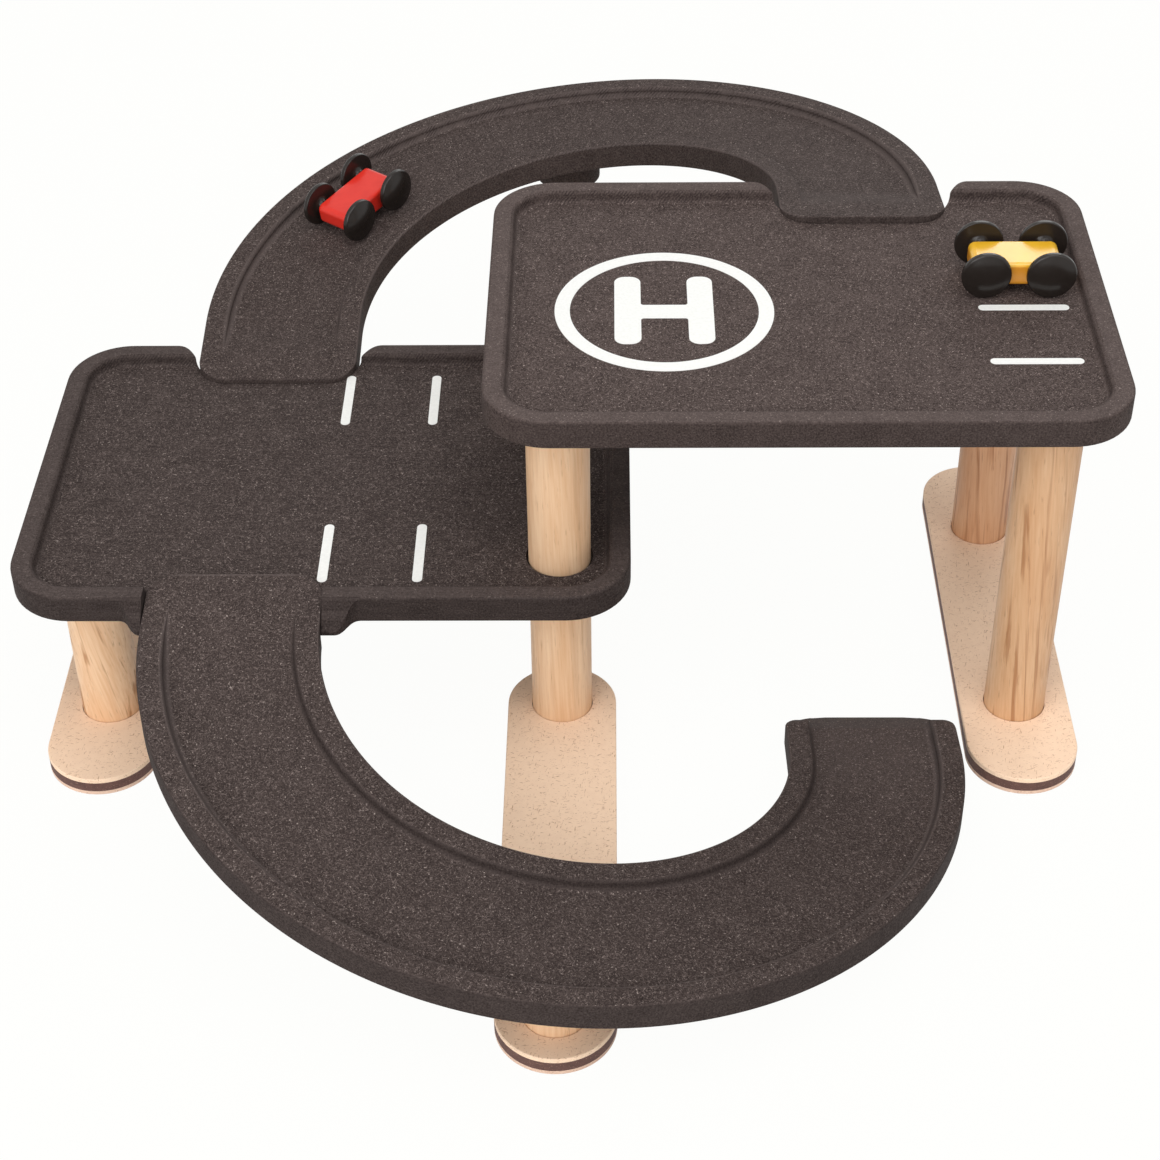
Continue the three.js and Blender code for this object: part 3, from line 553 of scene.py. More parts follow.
def fibre_board(name, tone_and_painted_shade, rim=None, rows=0.0):
    """Dark dyed wood-fibre board: flecks and short fibres on its level faces, edges made paler as wear and as
    painted highlights, painted shade on its upright front faces, and a cutter's marks on its walls. One share
    darkens the whole board, partly its own tone and partly painted shade; rim is the height of a tray's
    sanded rim, and rows how much its floor is striped."""
    paint = Paint(name, specular=0.15)
    # One share darkens the whole board: partly its own tone, partly painted shade
    tint = stained(tone_and_painted_shade, tone_and_painted_shade, tone_and_painted_shade)
    slope = paint.slope()
    level = paint.ramp(slope, 0.7, 0.88, 0.15, 1.0)
    # Rounded edges between level and upright faces are made paler: partly wear, partly painted highlight
    worn_highlit = paint.times(paint.ramp(slope, 0.45, 0.65), paint.ramp(slope, 0.91, 0.83))
    fine = paint.noise(0.7, 2.0)
    mottle = paint.plus(fine, paint.spread(paint.noise(9.0), -0.05, 0.05))
    if rim:
        lanes = paint.noise(1.1, 2.0, (14, 0.9, 0.9))
        mottle = paint.plus(mottle, paint.spread(lanes, -rows, rows))
    ground = paint.mix(paint.spread(mottle), tint(BOARD_DARK), tint(BOARD_LIGHT))
    if rim:
        from_top = paint.height_from(rim)
        from_edge = paint.math("MINIMUM", from_top, paint.height_from(rim - TRAY_DEPTH))
        sanded = paint.times(paint.ramp(from_top, 1.0, 0.6), paint.ramp(slope, 0.9, 0.95), SANDED_SHARE)
        ground = paint.mix(sanded, ground, tint(BOARD_SANDED_AND_LIT))
        level = paint.times(level, paint.ramp(from_top, 0.6, 1.0, 0.45, 1.0))
        worn_highlit = paint.times(worn_highlit, paint.ramp(from_edge, 1.3, 0.7))
    else:
        ground = ramp_wear_and_painted_light(paint, ground, slope, tint)
    dots = paint.ramp(paint.noise(0.55, 1.0), 0.62, 0.72)
    flecks = paint.with_strands(dots, 0.7, (2.6, 0.6, 0.7), (5, 65, 125), 0.645, 0.705)
    pale = paint.mix(paint.ramp(paint.noise(1.6), 0.35, 0.65), tint(FLECK_PALE), tint(FLECK_DULL))
    ground = paint.mix(paint.times(flecks, level, FLECK_SHARE), ground, pale)
    bright = paint.ramp(paint.noise(0.9, 1.0), 0.7, 0.745)
    ground = paint.mix(paint.times(bright, level), ground, tint(FLECK_BRIGHT))
    # Worn edges, with their painted highlight
    ground = paint.mix(paint.times(worn_highlit, WORN_AND_HIGHLIT_SHARE), ground, tint(BOARD_WORN_HIGHLIT))
    # Painted shade: upright faces at the front of a board are darkened
    y = paint.parts(paint.millimetres())["Y"]
    front = paint.times(paint.ramp(y, *FRONT_FACES), paint.ramp(slope, 0.9, 0.75), FRONT_SHADE_SHARE)
    ground = paint.mix(front, ground, tint(BOARD_SHADE_AND_TICKS))
    paint.set("Base Color", paint.mix(paint.cutter_marks(slope), ground, tint(BOARD_SHADE_AND_TICKS)))
    paint.set("Roughness", paint.spread(mottle, 0.9, 0.76))
    paint.bump(paint.plus(fine, flecks), 0.00008, 0.5)
    return paint.material


def post_wood(name, tilt, contrast, stain_and_shade=(1.0, 1.0, 1.0)):
    """Sanded pale hardwood: soft bands, wavy dark grain lines and short pores, all along the grain. Its
    colour
    is lowered by a share in each channel: a stain, and on the back post painted shade.
    """
    paint = Paint(name)
    tint = stained(*stain_and_shade)

    def streaks(stretch, scale, detail):
        inputs = {"Vector": paint.grain(tilt, stretch), "Scale": scale, "Detail": detail}
        return paint.add("ShaderNodeTexNoise", inputs).outputs

    bent = paint.vector_math("MULTIPLY", streaks(40, 0.16, 2.0)["Color"], (9.0, 9.0, 0.0)).outputs[0]
    along = paint.vector_math("ADD", paint.grain(tilt, 30), bent).outputs[0]
    lines = paint.add("ShaderNodeTexNoise", {"Vector": along, "Scale": 0.34, "Detail": 3.0}).outputs["Fac"]
    broad = streaks(9, 0.10, 2.0)["Fac"]
    fine = streaks(24, 1.1, 3.0)["Fac"]
    tone = paint.ramp(paint.plus(broad, fine), 0.72, 1.28)
    ground = paint.mix(tone, tint(WOOD_DARK), tint(WOOD_LIGHT))
    dark = paint.times(paint.ramp(lines, 0.56, 0.68), contrast)
    ground = paint.mix(dark, ground, tint(WOOD_LINE))
    pores = paint.ramp(streaks(14, 1.6, 1.0)["Fac"], 0.66, 0.76)
    paint.set("Base Color", paint.mix(paint.times(pores, PORE_SHARE), ground, tint(WOOD_PORE)))
    paint.set("Roughness", paint.spread(fine, 0.6, 0.46))
    paint.bump(paint.minus(fine, pores), 0.00008, 0.5)
    return paint.material


def sawdust_board(name, low, high, speck):
    """Smooth pressed sawdust board with sparse fibres and dots."""
    paint = Paint(name, roughness=0.7)
    ground = paint.mix(paint.spread(paint.noise(3.0)), low, high)
    dots = paint.ramp(paint.noise(0.8, 1.0), 0.72, 0.77)
    specks = paint.with_strands(dots, 0.8, (3.0, 0.6, 0.6), (20, 100, 160), 0.68, 0.76)
    paint.set("Base Color", paint.mix(paint.times(specks, SPECK_SHARE), ground, speck))
    paint.bump(paint.noise(0.8), 0.0001, 0.35)
    return paint.material


def gloss_paint(name, low, high, side, specular):
    """Gloss paint on wood, a little uneven, with its upright faces turned to the side colour: painted shade
    where that colour is darker.
    """
    paint = Paint(name, specular=specular)
    cover = paint.mix(paint.spread(paint.noise(6.0)), low, high)
    # Painted shade: upright faces take the side colour
    paint.set("Base Color", paint.mix(paint.ramp(paint.slope(), 0.45, 0.1), cover, side))
    paint.set("Roughness", paint.spread(paint.noise(3.0), 0.18, 0.26))
    paint.bump(paint.noise(2.5, 1.0), 0.00003, 0.15)
    return paint.material


def black_plastic():
    paint = Paint("black_plastic", specular=0.3)
    paint.set("Base Color", paint.mix(paint.noise(2.0), srgb(34, 29, 26), srgb(41, 35, 32)))
    paint.set("Roughness", paint.spread(paint.noise(1.5), 0.2, 0.26))
    paint.bump(paint.noise(2.5, 1.0), 0.00004, 0.15)
    return paint.material


def sign_paint():
    """White paint that follows the board's grain."""
    paint = Paint("sign_paint", roughness=0.6)
    white = paint.mix(paint.spread(paint.noise(1.2)), srgb(238, 238, 234), srgb(246, 246, 242))
    paint.set("Base Color", white)
    paint.bump(paint.noise(0.7), 0.00008, 0.5)
    return paint.material


def screw_steel():
    paint = Paint("screw_steel", metallic=1.0)
    paint.set("Base Color", paint.mix(paint.noise(1.0), srgb(170, 170, 166), srgb(205, 205, 200)))
    paint.set("Roughness", paint.spread(paint.noise(0.5), 0.28, 0.45))
    return paint.material


# The lower deck and the ramps are darker copies of the upper board: partly their own tone, partly painted
# shade
UPPER_BOARD = fibre_board("upper_dark_board", 0.925, upper_high.z, 0.025)
LOWER_BOARD = fibre_board("lower_dark_board", 0.785, lower_high.z, 0.08)
RAMP_BOARD = fibre_board("ramp_dark_board", 0.82)
POST_WOOD = post_wood("post_wood", 2, 0.22)
POST_WOOD_LEFT = post_wood("post_wood_leaning", 11, 0.95)
POST_WOOD_RIGHT = post_wood("post_wood_bold", 5, 0.75, (0.91, 0.87, 0.825))
# Painted shade: the back post, under the upper deck, is darkened
POST_WOOD_BACK_SHADED = post_wood("post_wood_shaded", 4, 0.75, (0.87, 0.80, 0.755))
FOOT_PALE = sawdust_board("foot_pale", srgb(250, 217, 187), srgb(254, 222, 192), srgb(182, 132, 90))
FOOT_BASE = sawdust_board("foot_base", srgb(226, 190, 168), srgb(236, 204, 182), srgb(160, 116, 90))
FOOT_BROWN = sawdust_board("foot_brown", srgb(84, 54, 47), srgb(102, 69, 60), srgb(150, 116, 100))
RED_PAINT = gloss_paint("red_paint", srgb(220, 47, 36), srgb(228, 55, 42), srgb(222, 50, 38), 0.35)
# The yellow's darker side colour is painted shade on its upright faces
YELLOW_PAINT = gloss_paint("yellow_paint", srgb(244, 185, 40), srgb(250, 194, 50), srgb(234, 156, 44), 0.85)
BLACK_PLASTIC = black_plastic()
SIGN_PAINT = sign_paint()
SCREW_STEEL = screw_steel()


# Decks
def deck_outline(ramp_x, notch_depth, tongue):
    """A deck's outline about its middle: a notch in the back edge, and a tongue on the front one."""
    x = DECK_LENGTH / 2 - DECK_CORNER
    y = DECK_WIDTH / 2 - DECK_CORNER
    edge = DECK_WIDTH / 2
    points = arc(x, y, DECK_CORNER, 0, 90)
    points += soft_step(ramp_x + NOTCH_MOUTH_HALF, edge, ramp_x + NOTCH_FOOT_HALF, edge - notch_depth)
    points += soft_step(ramp_x - NOTCH_FOOT_HALF, edge - notch_depth, ramp_x - NOTCH_MOUTH_HALF, edge)
    points += arc(-x, y, DECK_CORNER, 90, 180) + arc(-x, -y, DECK_CORNER, 180, 270)
    if tongue:
        tip = -edge - TONGUE_REACH
        outer = ramp_x - TONGUE_HALF_OUTER
        points += soft_step(outer - TONGUE_FILLET, -edge, outer, tip)
        points += soft_step(ramp_x + TONGUE_HALF, tip, ramp_x + TONGUE_HALF + TONGUE_FILLET, -edge)
    return points + arc(x, -y, DECK_CORNER, 270, 360)


def tray_cutter():
    """The hollow of a tray: a flat floor, a cove up to the wall, and the rim's soft edge."""
    outline = rounded_rectangle(DECK_LENGTH - 2 * RIM_FLAT, DECK_WIDTH - 2 * RIM_FLAT, DECK_CORNER - RIM_FLAT)
    edge = TRAY_DEPTH * RIM_EDGE_SHARE
    levels = []
    for a in quarter_turn():
        rise = (TRAY_DEPTH - edge) * (1 - math.cos(a))
        levels.append((RIM_EDGE + RIM_COVE * (1 - math.sin(a)), DECK_THICKNESS - TRAY_DEPTH + rise))
    for a in quarter_turn()[1:]:
        levels.append((RIM_EDGE * math.cos(a), DECK_THICKNESS - edge * (1 - math.sin(a))))
    levels.append((0, 2 * DECK_THICKNESS))
    return layered("cutter", outline, levels)


def deck_board(name, middle, ramp_x, notch_depth, tongue, posts):
    """A tray drawn about its middle, with an open way to the ramp and a socket for each post."""
    outline = deck_outline(ramp_x, notch_depth, tongue)
    board = plate(name, outline, 0, DECK_THICKNESS, DECK_EDGE, DECK_EDGE)
    cut(board, tray_cutter())
    half = RAMP_HALF + LAP_GAP
    edge = DECK_WIDTH / 2
    floor = DECK_THICKNESS - TRAY_DEPTH
    inner = edge - RIM_WIDTH
    outer = edge + RIM_WIDTH
    way = [(inner, floor), (outer, floor), (outer, 2 * floor), (inner, 2 * floor)]
    cut(board, prism_along_x(way, ramp_x - half, ramp_x + half))
    for post in posts:
        cut_round(board, post, SOCKET_CLEARANCE, -floor, SOCKET_DEPTH, middle)
    return board


def cut_seat(board, ramp_x):
    """The open rim, the falling seat and the tongue's shoulders, where the front ramp lies on the tongue."""
    edge = -DECK_WIDTH / 2
    beyond = edge - TONGUE_REACH - TONGUE_FILLET
    above = 2 * DECK_THICKNESS
    top = DECK_THICKNESS - TRAY_DEPTH
    start = edge + FRONT_TOP_STRAIGHT - TONGUE_REACH - LIP_LAP
    inner = edge + SEAT_REACH
    slope = (top - SEAT_TIP) / (start - edge + TONGUE_REACH)
    low = SEAT_TIP - slope * TONGUE_FILLET
    slot = [(beyond, low), (start, top), (inner, top), (inner, above), (beyond, above)]
    half = RAMP_HALF + LAP_GAP
    cut(board, prism_along_x(slot, ramp_x - half, ramp_x + half))
    shoulder = edge + SHOULDER_START
    slope = (DECK_THICKNESS - SHOULDER_TIP) / (SHOULDER_START + TONGUE_REACH)
    low = SHOULDER_TIP - slope * TONGUE_FILLET
    shoulders = [(beyond, low), (shoulder, DECK_THICKNESS), (shoulder, above), (beyond, above)]
    half = TONGUE_HALF + TONGUE_FILLET
    cut(board, prism_along_x(shoulders, ramp_x - half, ramp_x + half))


def make_decks():
    notch = EDGE_FAR - (RAMP_CENTRE_Y - BACK_TOP_STRAIGHT + LIP_LAP)
    posts = ["right_front_post", "right_back_post", "middle_front_upper_post", "middle_back_upper_post"]
    upper = deck_board("upper_board", UPPER_MIDDLE, RAMP_OFFSET, notch, False, posts)
    upper.data.transform(Matrix.Translation(UPPER_MIDDLE))
    finished(upper, UPPER_BOARD, ROOT, ["upper_deck"])

    notch = EDGE_NEAR - (RAMP_CENTRE_Y - LOWER_STRAIGHT + LIP_LAP)
    posts = ["left_front_post", "left_back_post", "middle_front_lower_post", "middle_back_lower_post"]
    lower = deck_board("lower_board", LOWER_MIDDLE, -RAMP_OFFSET, notch, True, posts)
    cut_seat(lower, -RAMP_OFFSET)
    floor = DECK_THICKNESS - TRAY_DEPTH
    for post in ("middle_front_upper_post", "middle_back_upper_post"):
        recess = (floor - RECESS_DEPTH, DECK_THICKNESS - DECK_EDGE)
        cut_round(lower, post, RECESS_CLEARANCE, *recess, LOWER_MIDDLE)
    lower.data.transform(Matrix.Translation(LOWER_MIDDLE))
    finished(lower, LOWER_BOARD, ROOT, ["lower_deck"])


# Ramps, drawn as the back one, and turned half round for the front one
class RampLine:
    """A ramp's middle line: a straight, half a ring and a straight, falling evenly."""

    def __init__(self, top_straight, end_straight, top_z, end_z):
        self.top_straight = top_straight
        self.arc = math.pi * RAMP_RADIUS
        self.length = top_straight + self.arc + end_straight
        self.top_z = top_z
        self.fall = (top_z - end_z) / self.length

    def point(self, s, u, w):
        """The place at s along the middle line, u outwards and w above the ramp's top."""
        past = s - self.top_straight
        angle = min(max(past / RAMP_RADIUS, 0), math.pi)
        straight = min(past, 0) - max(past - self.arc, 0)
        radius = RAMP_RADIUS + u
        return Vector((radius * math.cos(angle), RAMP_CENTRE_Y + radius * math.sin(angle) + straight,
                       self.top_z - self.fall * s + w))

    def height_at(self, x, y):
        """The top's height over a place on the arc."""
        angle = math.atan2(y - RAMP_CENTRE_Y, x)
        return self.top_z - self.fall * (self.top_straight + RAMP_RADIUS * angle)


def smooth(value, low, high):
    t = min(max((value - low) / (high - low), 0), 1)
    return t * t * (3 - 2 * t)


def corner_setback(u, radius):
    """How far a rounded end stands back at u from the middle line."""
    over = max(abs(u) - (RAMP_HALF - radius), 0)
    return radius - math.sqrt(max(radius * radius - over * over, 0))


def top_profile():
    """Pairs (u, share of depth, edge drop) across half of a ramp's top, from its edge to its middle."""
    points = [(RAMP_HALF - i, 0.0, d) for i, d in edge_round(RAMP_EDGE)]
    rim = RAMP_HALF - CHANNEL_RIM
    start = RAMP_HALF - RAMP_EDGE
    points += [(start + (rim - start) * i / RIM_STEPS, 0.0, 0.0) for i in range(1, RIM_STEPS + 1)]
    for a in quarter_turn()[1:]:
        points.append((rim - CHANNEL_EDGE * math.sin(a), RIM_EDGE_SHARE * (1 - math.cos(a)), 0.0))
    wall = rim - CHANNEL_EDGE
    for a in quarter_turn()[1:]:
        share = RIM_EDGE_SHARE + (1 - RIM_EDGE_SHARE) * math.sin(a)
        points.append((wall - CHANNEL_COVE * (1 - math.cos(a)), share, 0.0))
    floor = wall - CHANNEL_COVE
    points += [(floor * (1 - i / FLOOR_STEPS), 1.0, 0.0) for i in range(1, FLOOR_STEPS + 1)]
    return points


def ramp_solid(name, line, depth, top_corner, end_corner, end_limit=None):
    """The channelled board, with rounded ends that stand back at their corners. end_limit gives the
    highest place of the top at a distance from the lower end, which otherwise has a rounded edge."""
    half = top_profile()
    profile = half + [(-u, share, drop) for u, share, drop in reversed(half[:-1])]
    distances = [RAMP_EDGE * i / EDGE_STEPS for i in range(EDGE_STEPS + 1)]
    distances += [RAMP_EDGE + (LIP_FADE - RAMP_EDGE) * i / LIP_STEPS for i in range(1, LIP_STEPS + 1)]
    far = line.length
    inner = far - 2 * LIP_FADE
    stations = [(d, d, far) for d in distances]
    stations += [(LIP_FADE + inner * i / RAMP_ARC_STEPS, far, far) for i in range(1, RAMP_ARC_STEPS)]
    stations += [(far - d, far, d) for d in reversed(distances)]
    rings = []
    for s, from_top, from_end in stations:
        fade_top = max(1 - from_top / LIP_FADE, 0) ** 2
        fade_end = max(1 - from_end / LIP_FADE, 0) ** 2
        lip = max(RAMP_EDGE - from_top, 0)
        if not end_limit:
            lip = max(lip, RAMP_EDGE - from_end)
        fall = RAMP_EDGE - math.sqrt(max(RAMP_EDGE ** 2 - lip ** 2, 0))
        top = []
        under = []
        for u, share, drop in profile:
            along = s + corner_setback(u, top_corner) * fade_top - corner_setback(u, end_corner) * fade_end
            height = -max(drop, fall) - share * depth(along)
            if end_limit:
                from_tip = line.length - along - corner_setback(u, NOSE_CORNER)
                height = min(height, end_limit(from_tip) - drop)
            top.append(line.point(along, u, height))
            under.append(line.point(along, u, drop - RAMP_THICKNESS))
        rings.append(top + under[::-1])
    made = stacked(name, [list(reversed(ring)) for ring in rings], cap=False)
    return closed_ends(made, len(rings), len(profile))


def closed_ends(piece, ring_count, width):
    """Closes both ends of a ramp with upright strips from its top to its underside."""
    vertices = [v.co.copy() for v in piece.data.vertices]
    faces = [tuple(p.vertices) for p in piece.data.polygons]
    last = (ring_count - 1) * 2 * width
    for i in range(width - 1):
        a, b, c, d = i, i + 1, 2 * width - 2 - i, 2 * width - 1 - i
        faces.append((d, c, b, a))
        faces.append((last + a, last + b, last + c, last + d))
    name = piece.name
    bpy.data.objects.remove(piece)
    return mesh_object(name, vertices, faces)


def notch_cutter(x, notch_y, edge_y, floor_z):
    """All that lies under a tray's floor round a notch."""
    wide = NOTCH_MOUTH_HALF + RAMP_WIDTH
    inner_y = notch_y - RAMP_WIDTH
    foot = NOTCH_FOOT_HALF - LAP_GAP
    mouth = NOTCH_MOUTH_HALF - LAP_GAP
    bottom = notch_y + LAP_GAP
    points = [(x - wide, edge_y), (x - wide, inner_y), (x + wide, inner_y), (x + wide, edge_y)]
    points += soft_step(x + mouth, edge_y, x + foot, bottom)
    points += soft_step(x - foot, bottom, x - mouth, edge_y)
    return plate("cutter", points, floor_z - RAMP_WIDTH, floor_z + LAP_GAP)


def run_in(distance):
    return smooth(distance, CHANNEL_START, CHANNEL_START + CHANNEL_RUN_IN)


back_line = RampLine(BACK_TOP_STRAIGHT, LOWER_STRAIGHT, ramp_high.z, LOWER_FLOOR + LIP_HEIGHT_BELOW)
front_line = RampLine(FRONT_TOP_STRAIGHT, GROUND_STRAIGHT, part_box("front_ramp")[1].z, RAMP_THICKNESS)
HALF_TURN = Matrix.Rotation(math.pi, 4, "Z")


def make_back_ramp():
    line = back_line

    def depth(s):
        return CHANNEL_DEPTH * run_in(s) * run_in(line.length - s)

    ramp = ramp_solid("back_ramp_board", line, depth, LIP_CORNER, LIP_CORNER)
    top_y = RAMP_CENTRE_Y - BACK_TOP_STRAIGHT
    end_y = RAMP_CENTRE_Y - LOWER_STRAIGHT
    cut(ramp, notch_cutter(RAMP_RADIUS, top_y + LIP_LAP, EDGE_FAR, UPPER_FLOOR))
    cut(ramp, notch_cutter(-RAMP_RADIUS, end_y + LIP_LAP, EDGE_NEAR, LOWER_FLOOR))
    finished(ramp, RAMP_BOARD, ROOT, ["back_ramp"])


def make_front_ramp():
    line = front_line
    tip = RAMP_THICKNESS - GROUND_TIP - CHANNEL_DEPTH

    def depth(s):
        out = max(s - (line.length - GROUND_CHAMFER), 0) / GROUND_CHAMFER
        return CHANNEL_DEPTH * run_in(s) + tip * out

    nose_end = NOSE_START - NOSE_LENGTH
    nose_floor = NOSE_LEFT - depth(line.length - nose_end) - line.fall * (NOSE_START - nose_end)

    def rim_limit(distance):
        """The rims' noses: a quarter round down to the floor of the channel."""
        if distance >= NOSE_START:
            return 0.0
        if distance <= nose_end:
            return NOSE_LEFT - depth(line.length - distance)
        down = math.sqrt(1 - ((NOSE_START - distance) / NOSE_LENGTH) ** 2)
        return nose_floor * (1 - down) + line.fall * (NOSE_START - distance)

    ramp = ramp_solid("front_ramp_board", line, depth, LIP_CORNER, GROUND_CORNER, rim_limit)
    top_y = RAMP_CENTRE_Y - FRONT_TOP_STRAIGHT
    floor = LOWER_FLOOR + LAP_GAP
    past = RAMP_CENTRE_Y + LAP_GAP
    inner_y = top_y - RAMP_WIDTH
    tongue_top = lower_low.z + SEAT_TIP + LAP_GAP
    seat = [(inner_y, 0), (past, 0), (past, tongue_top), (top_y + LIP_LAP, floor), (inner_y, floor)]
    cut(ramp, prism_along_x(seat, RAMP_RADIUS - RAMP_WIDTH, RAMP_RADIUS + RAMP_WIDTH))
    ramp.data.transform(HALF_TURN)
    finished(ramp, RAMP_BOARD, ROOT, ["front_ramp"])


def make_boss(side, line, turn):
    """The round block under a ramp's middle, with its top cut to the ramp's underside."""
    node = f"{side}_ramp_boss"
    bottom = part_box(node)[0].z
    radius = round_node(node)[1]
    middle_y = RAMP_CENTRE_Y + RAMP_RADIUS
    under = RAMP_THICKNESS + LAP_GAP
    foot = bottom - BOSS_SKIRT
    levels = [(radius - i, foot + d) for i, d in reversed(edge_round(POST_EDGE))]
    angles = [2 * math.pi * i / ROUND_SEGMENTS for i in range(ROUND_SEGMENTS)]
    rings = [[(r * math.cos(a), middle_y + r * math.sin(a), z) for a in angles] for r, z in levels]
    for share in BOSS_TOP_SHARES:
        ring = []
        for a in angles:
            x = share * radius * math.cos(a)
            y = middle_y + share * radius * math.sin(a)
            ring.append((x, y, line.height_at(x, y) - under))
        rings.append(ring)
    boss = stacked(f"{side}_ramp_block", rings)
    socket = round_node(f"{side}_ramp_post")[1] + SOCKET_CLEARANCE
    cut(boss, cylinder(socket, bottom - BOSS_SOCKET, bottom + BOSS_SOCKET, 0, middle_y))
    boss.data.transform(turn)
    finished(boss, RAMP_BOARD, ROOT, [node])


# Posts and feet
POST_WOODS = {"left_front_post": POST_WOOD_LEFT, "left_back_post": POST_WOOD_LEFT,
              "right_front_post": POST_WOOD_RIGHT, "right_back_post": POST_WOOD_BACK_SHADED}
FOOT_LAYERS = (
    ("top", FOOT_PALE, "pale_board", 0.0, FOOT_EDGE),
    ("core", FOOT_BROWN, "brown_board", 0.0, 0.0),
    ("base", FOOT_BASE, "pale_board", FOOT_EDGE, 0.0),
)


def make_posts():
    for node in [n for n in frame["nodes"] if n.endswith("_post")]:
        low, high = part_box(node)
        middle, radius = round_node(node)
        profile = [(radius - i, low.z + d) for i, d in reversed(edge_round(POST_EDGE))]
        profile += [(radius - i, high.z - d) for i, d in edge_round(POST_EDGE)]
        post = turned(f"{node}_dowel", profile)
        post.data.transform(Matrix.Translation((middle.x, middle.y, 0)))
        finished(post, POST_WOODS.get(node, POST_WOOD), ROOT, [node])


def round_ended(node):
    """The outline of a plate with half-round ends that fills a node's box."""
    low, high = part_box(node)
    middle, radius = round_node(node)
    end = (high.y - low.y) / 2 - radius
    outline = arc(0, end, radius, 0, 180, FOOT_END_STEPS) + arc(0, -end, radius, 180, 360, FOOT_END_STEPS)
    return moved(outline, middle.x, middle.y)


def make_feet():
    posts = [n for n in frame["nodes"] if n.endswith("_post") and not n.endswith("upper_post")]
    for foot in ("left", "right", "middle_front", "middle_back"):
        for layer, material, slot, low_edge, high_edge in FOOT_LAYERS:
            node = f"{foot}_foot_{layer}"
            low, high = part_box(node)
            piece = plate(f"{node}_layer", round_ended(node), low.z, high.z, low_edge, high_edge)
            if layer == "top":
                for post in posts:
                    at = round_node(post)[0]
                    if low.x < at.x < high.x and low.y < at.y < high.y:
                        cut_round(piece, post, SOCKET_CLEARANCE, low.z - CUT_PAST, high.z + CUT_PAST)
            finished(piece, material, ROOT, [node])


# Cars
def car_place(car):
    """A car's own frame (x forwards, y left, z up, 0 at the ground under its wheels) and its wheelbase."""
    joints = {j["name"]: j for j in frame["joints"]}
    front = Vector(joints[f"{car}_front_spin"]["pos_m"])
    rear = Vector(joints[f"{car}_rear_spin"]["pos_m"])
    ahead = (front - rear).normalized()
    left = Vector(joints[f"{car}_front_spin"]["axis"])
    if ahead.cross(left).z < 0:
        left = -left
    up = ahead.cross(left)
    middle = (front + rear) / 2 - up * WHEEL_RADIUS
    turn = Matrix((ahead, left, up)).transposed().to_4x4()
    return Matrix.Translation(middle) @ turn, (front - rear).length


def wheel_profile():
    """From the axle's seat, over the flared hub and the rounded tread, to the middle of the domed face."""
    outer = HUB_LENGTH + WHEEL_THICKNESS
    points = [(AXLE_BORE, AXLE_SEAT), (AXLE_BORE, BORE_BEVEL), (AXLE_BORE + BORE_BEVEL, 0)]
    points += [(HUB_RADIUS - HUB_BEVEL, 0), (HUB_RADIUS, HUB_BEVEL)]
    for i in range(1, HUB_STEPS + 1):
        t = i / HUB_STEPS
        flare = (HUB_ROOT_RADIUS - HUB_RADIUS) * t * t
        height = HUB_LENGTH * (HUB_COLLAR_SHARE + (1 - HUB_COLLAR_SHARE) * t)
        points.append((HUB_RADIUS + flare, height))
    points += [(WHEEL_RADIUS - i, HUB_LENGTH + d) for i, d in reversed(edge_round(WHEEL_EDGE / 2))]
    points += [(WHEEL_RADIUS - i, outer - d) for i, d in edge_round(WHEEL_EDGE, WHEEL_EDGE_STEPS)]
    face = WHEEL_RADIUS - WHEEL_EDGE
    for i in range(1, DOME_STEPS + 1):
        r = face * (1 - i / DOME_STEPS)
        points.append((max(r, DOME_POLE), outer + WHEEL_DOME * (1 - (r / face) ** DOME_POWER)))
    return points


def make_car(car, material):
    place, base = car_place(car)
    side = rounded_rectangle(CAR_LENGTH, CAR_HEIGHT, CAR_CORNER, SMALL_CORNER_STEPS)
    block = plate(f"{car}_block", side, -CAR_WIDTH / 2, CAR_WIDTH / 2, CAR_EDGE, CAR_EDGE)
    raised = Matrix.Translation((0, 0, CAR_GROUND_CLEARANCE + CAR_HEIGHT / 2))
    block.data.transform(place @ raised @ Matrix.Rotation(math.pi / 2, 4, "X"))
    finished(block, material, car, [f"{car}_body"])
    away = CAR_WIDTH / 2 + HUB_GAP
    for end, x in (("front", base / 2), ("rear", -base / 2)):
        for hand, sign in (("left", 1), ("right", -1)):
            wheel = turned(f"{car}_{end}_{hand}_disc", wheel_profile())
            turn = Matrix.Rotation(-sign * math.pi / 2, 4, "X")
            wheel.data.transform(place @ Matrix.Translation((x, sign * away, WHEEL_RADIUS)) @ turn)
            node = f"{car}_{end}_{hand}_wheel"
            finished(wheel, BLACK_PLASTIC, f"{car}_{end}_wheels", [node])


# Signs: white paint on the trays
LINE_WIDTH = 0.004
# A hair under half the width, so that no two corners meet
LINE_END = LINE_WIDTH / 2 - 1e-5
RING_OUTER = 0.0438
RING_INNER = 0.0377
RING_MIDDLE = (0.0420, -0.0016)
LETTER_LEFT = (0.0221, 0.0327)
LETTER_RIGHT = (0.0514, 0.0617)
LETTER_ENDS = (-0.0263, 0.0234)
LETTER_BAR = (-0.0077, 0.0021)
LETTER_ROUND = 0.0042
LETTER_FILLET = 0.0012
UPPER_LINE_X = (0.1672, 0.2034)
UPPER_LINES_Y = (-0.0006, -0.0391)
LOWER_LINES_X = (-0.0941, -0.0563)
LOWER_LINES_Y = ((0.0311, 0.0687), (-0.0769, -0.0394))


def painted(name, outline, floor):
    sign = plate(name, outline, floor - SIGN_THICKNESS / 2, floor + SIGN_THICKNESS)
    finished(sign, SIGN_PAINT, ROOT)


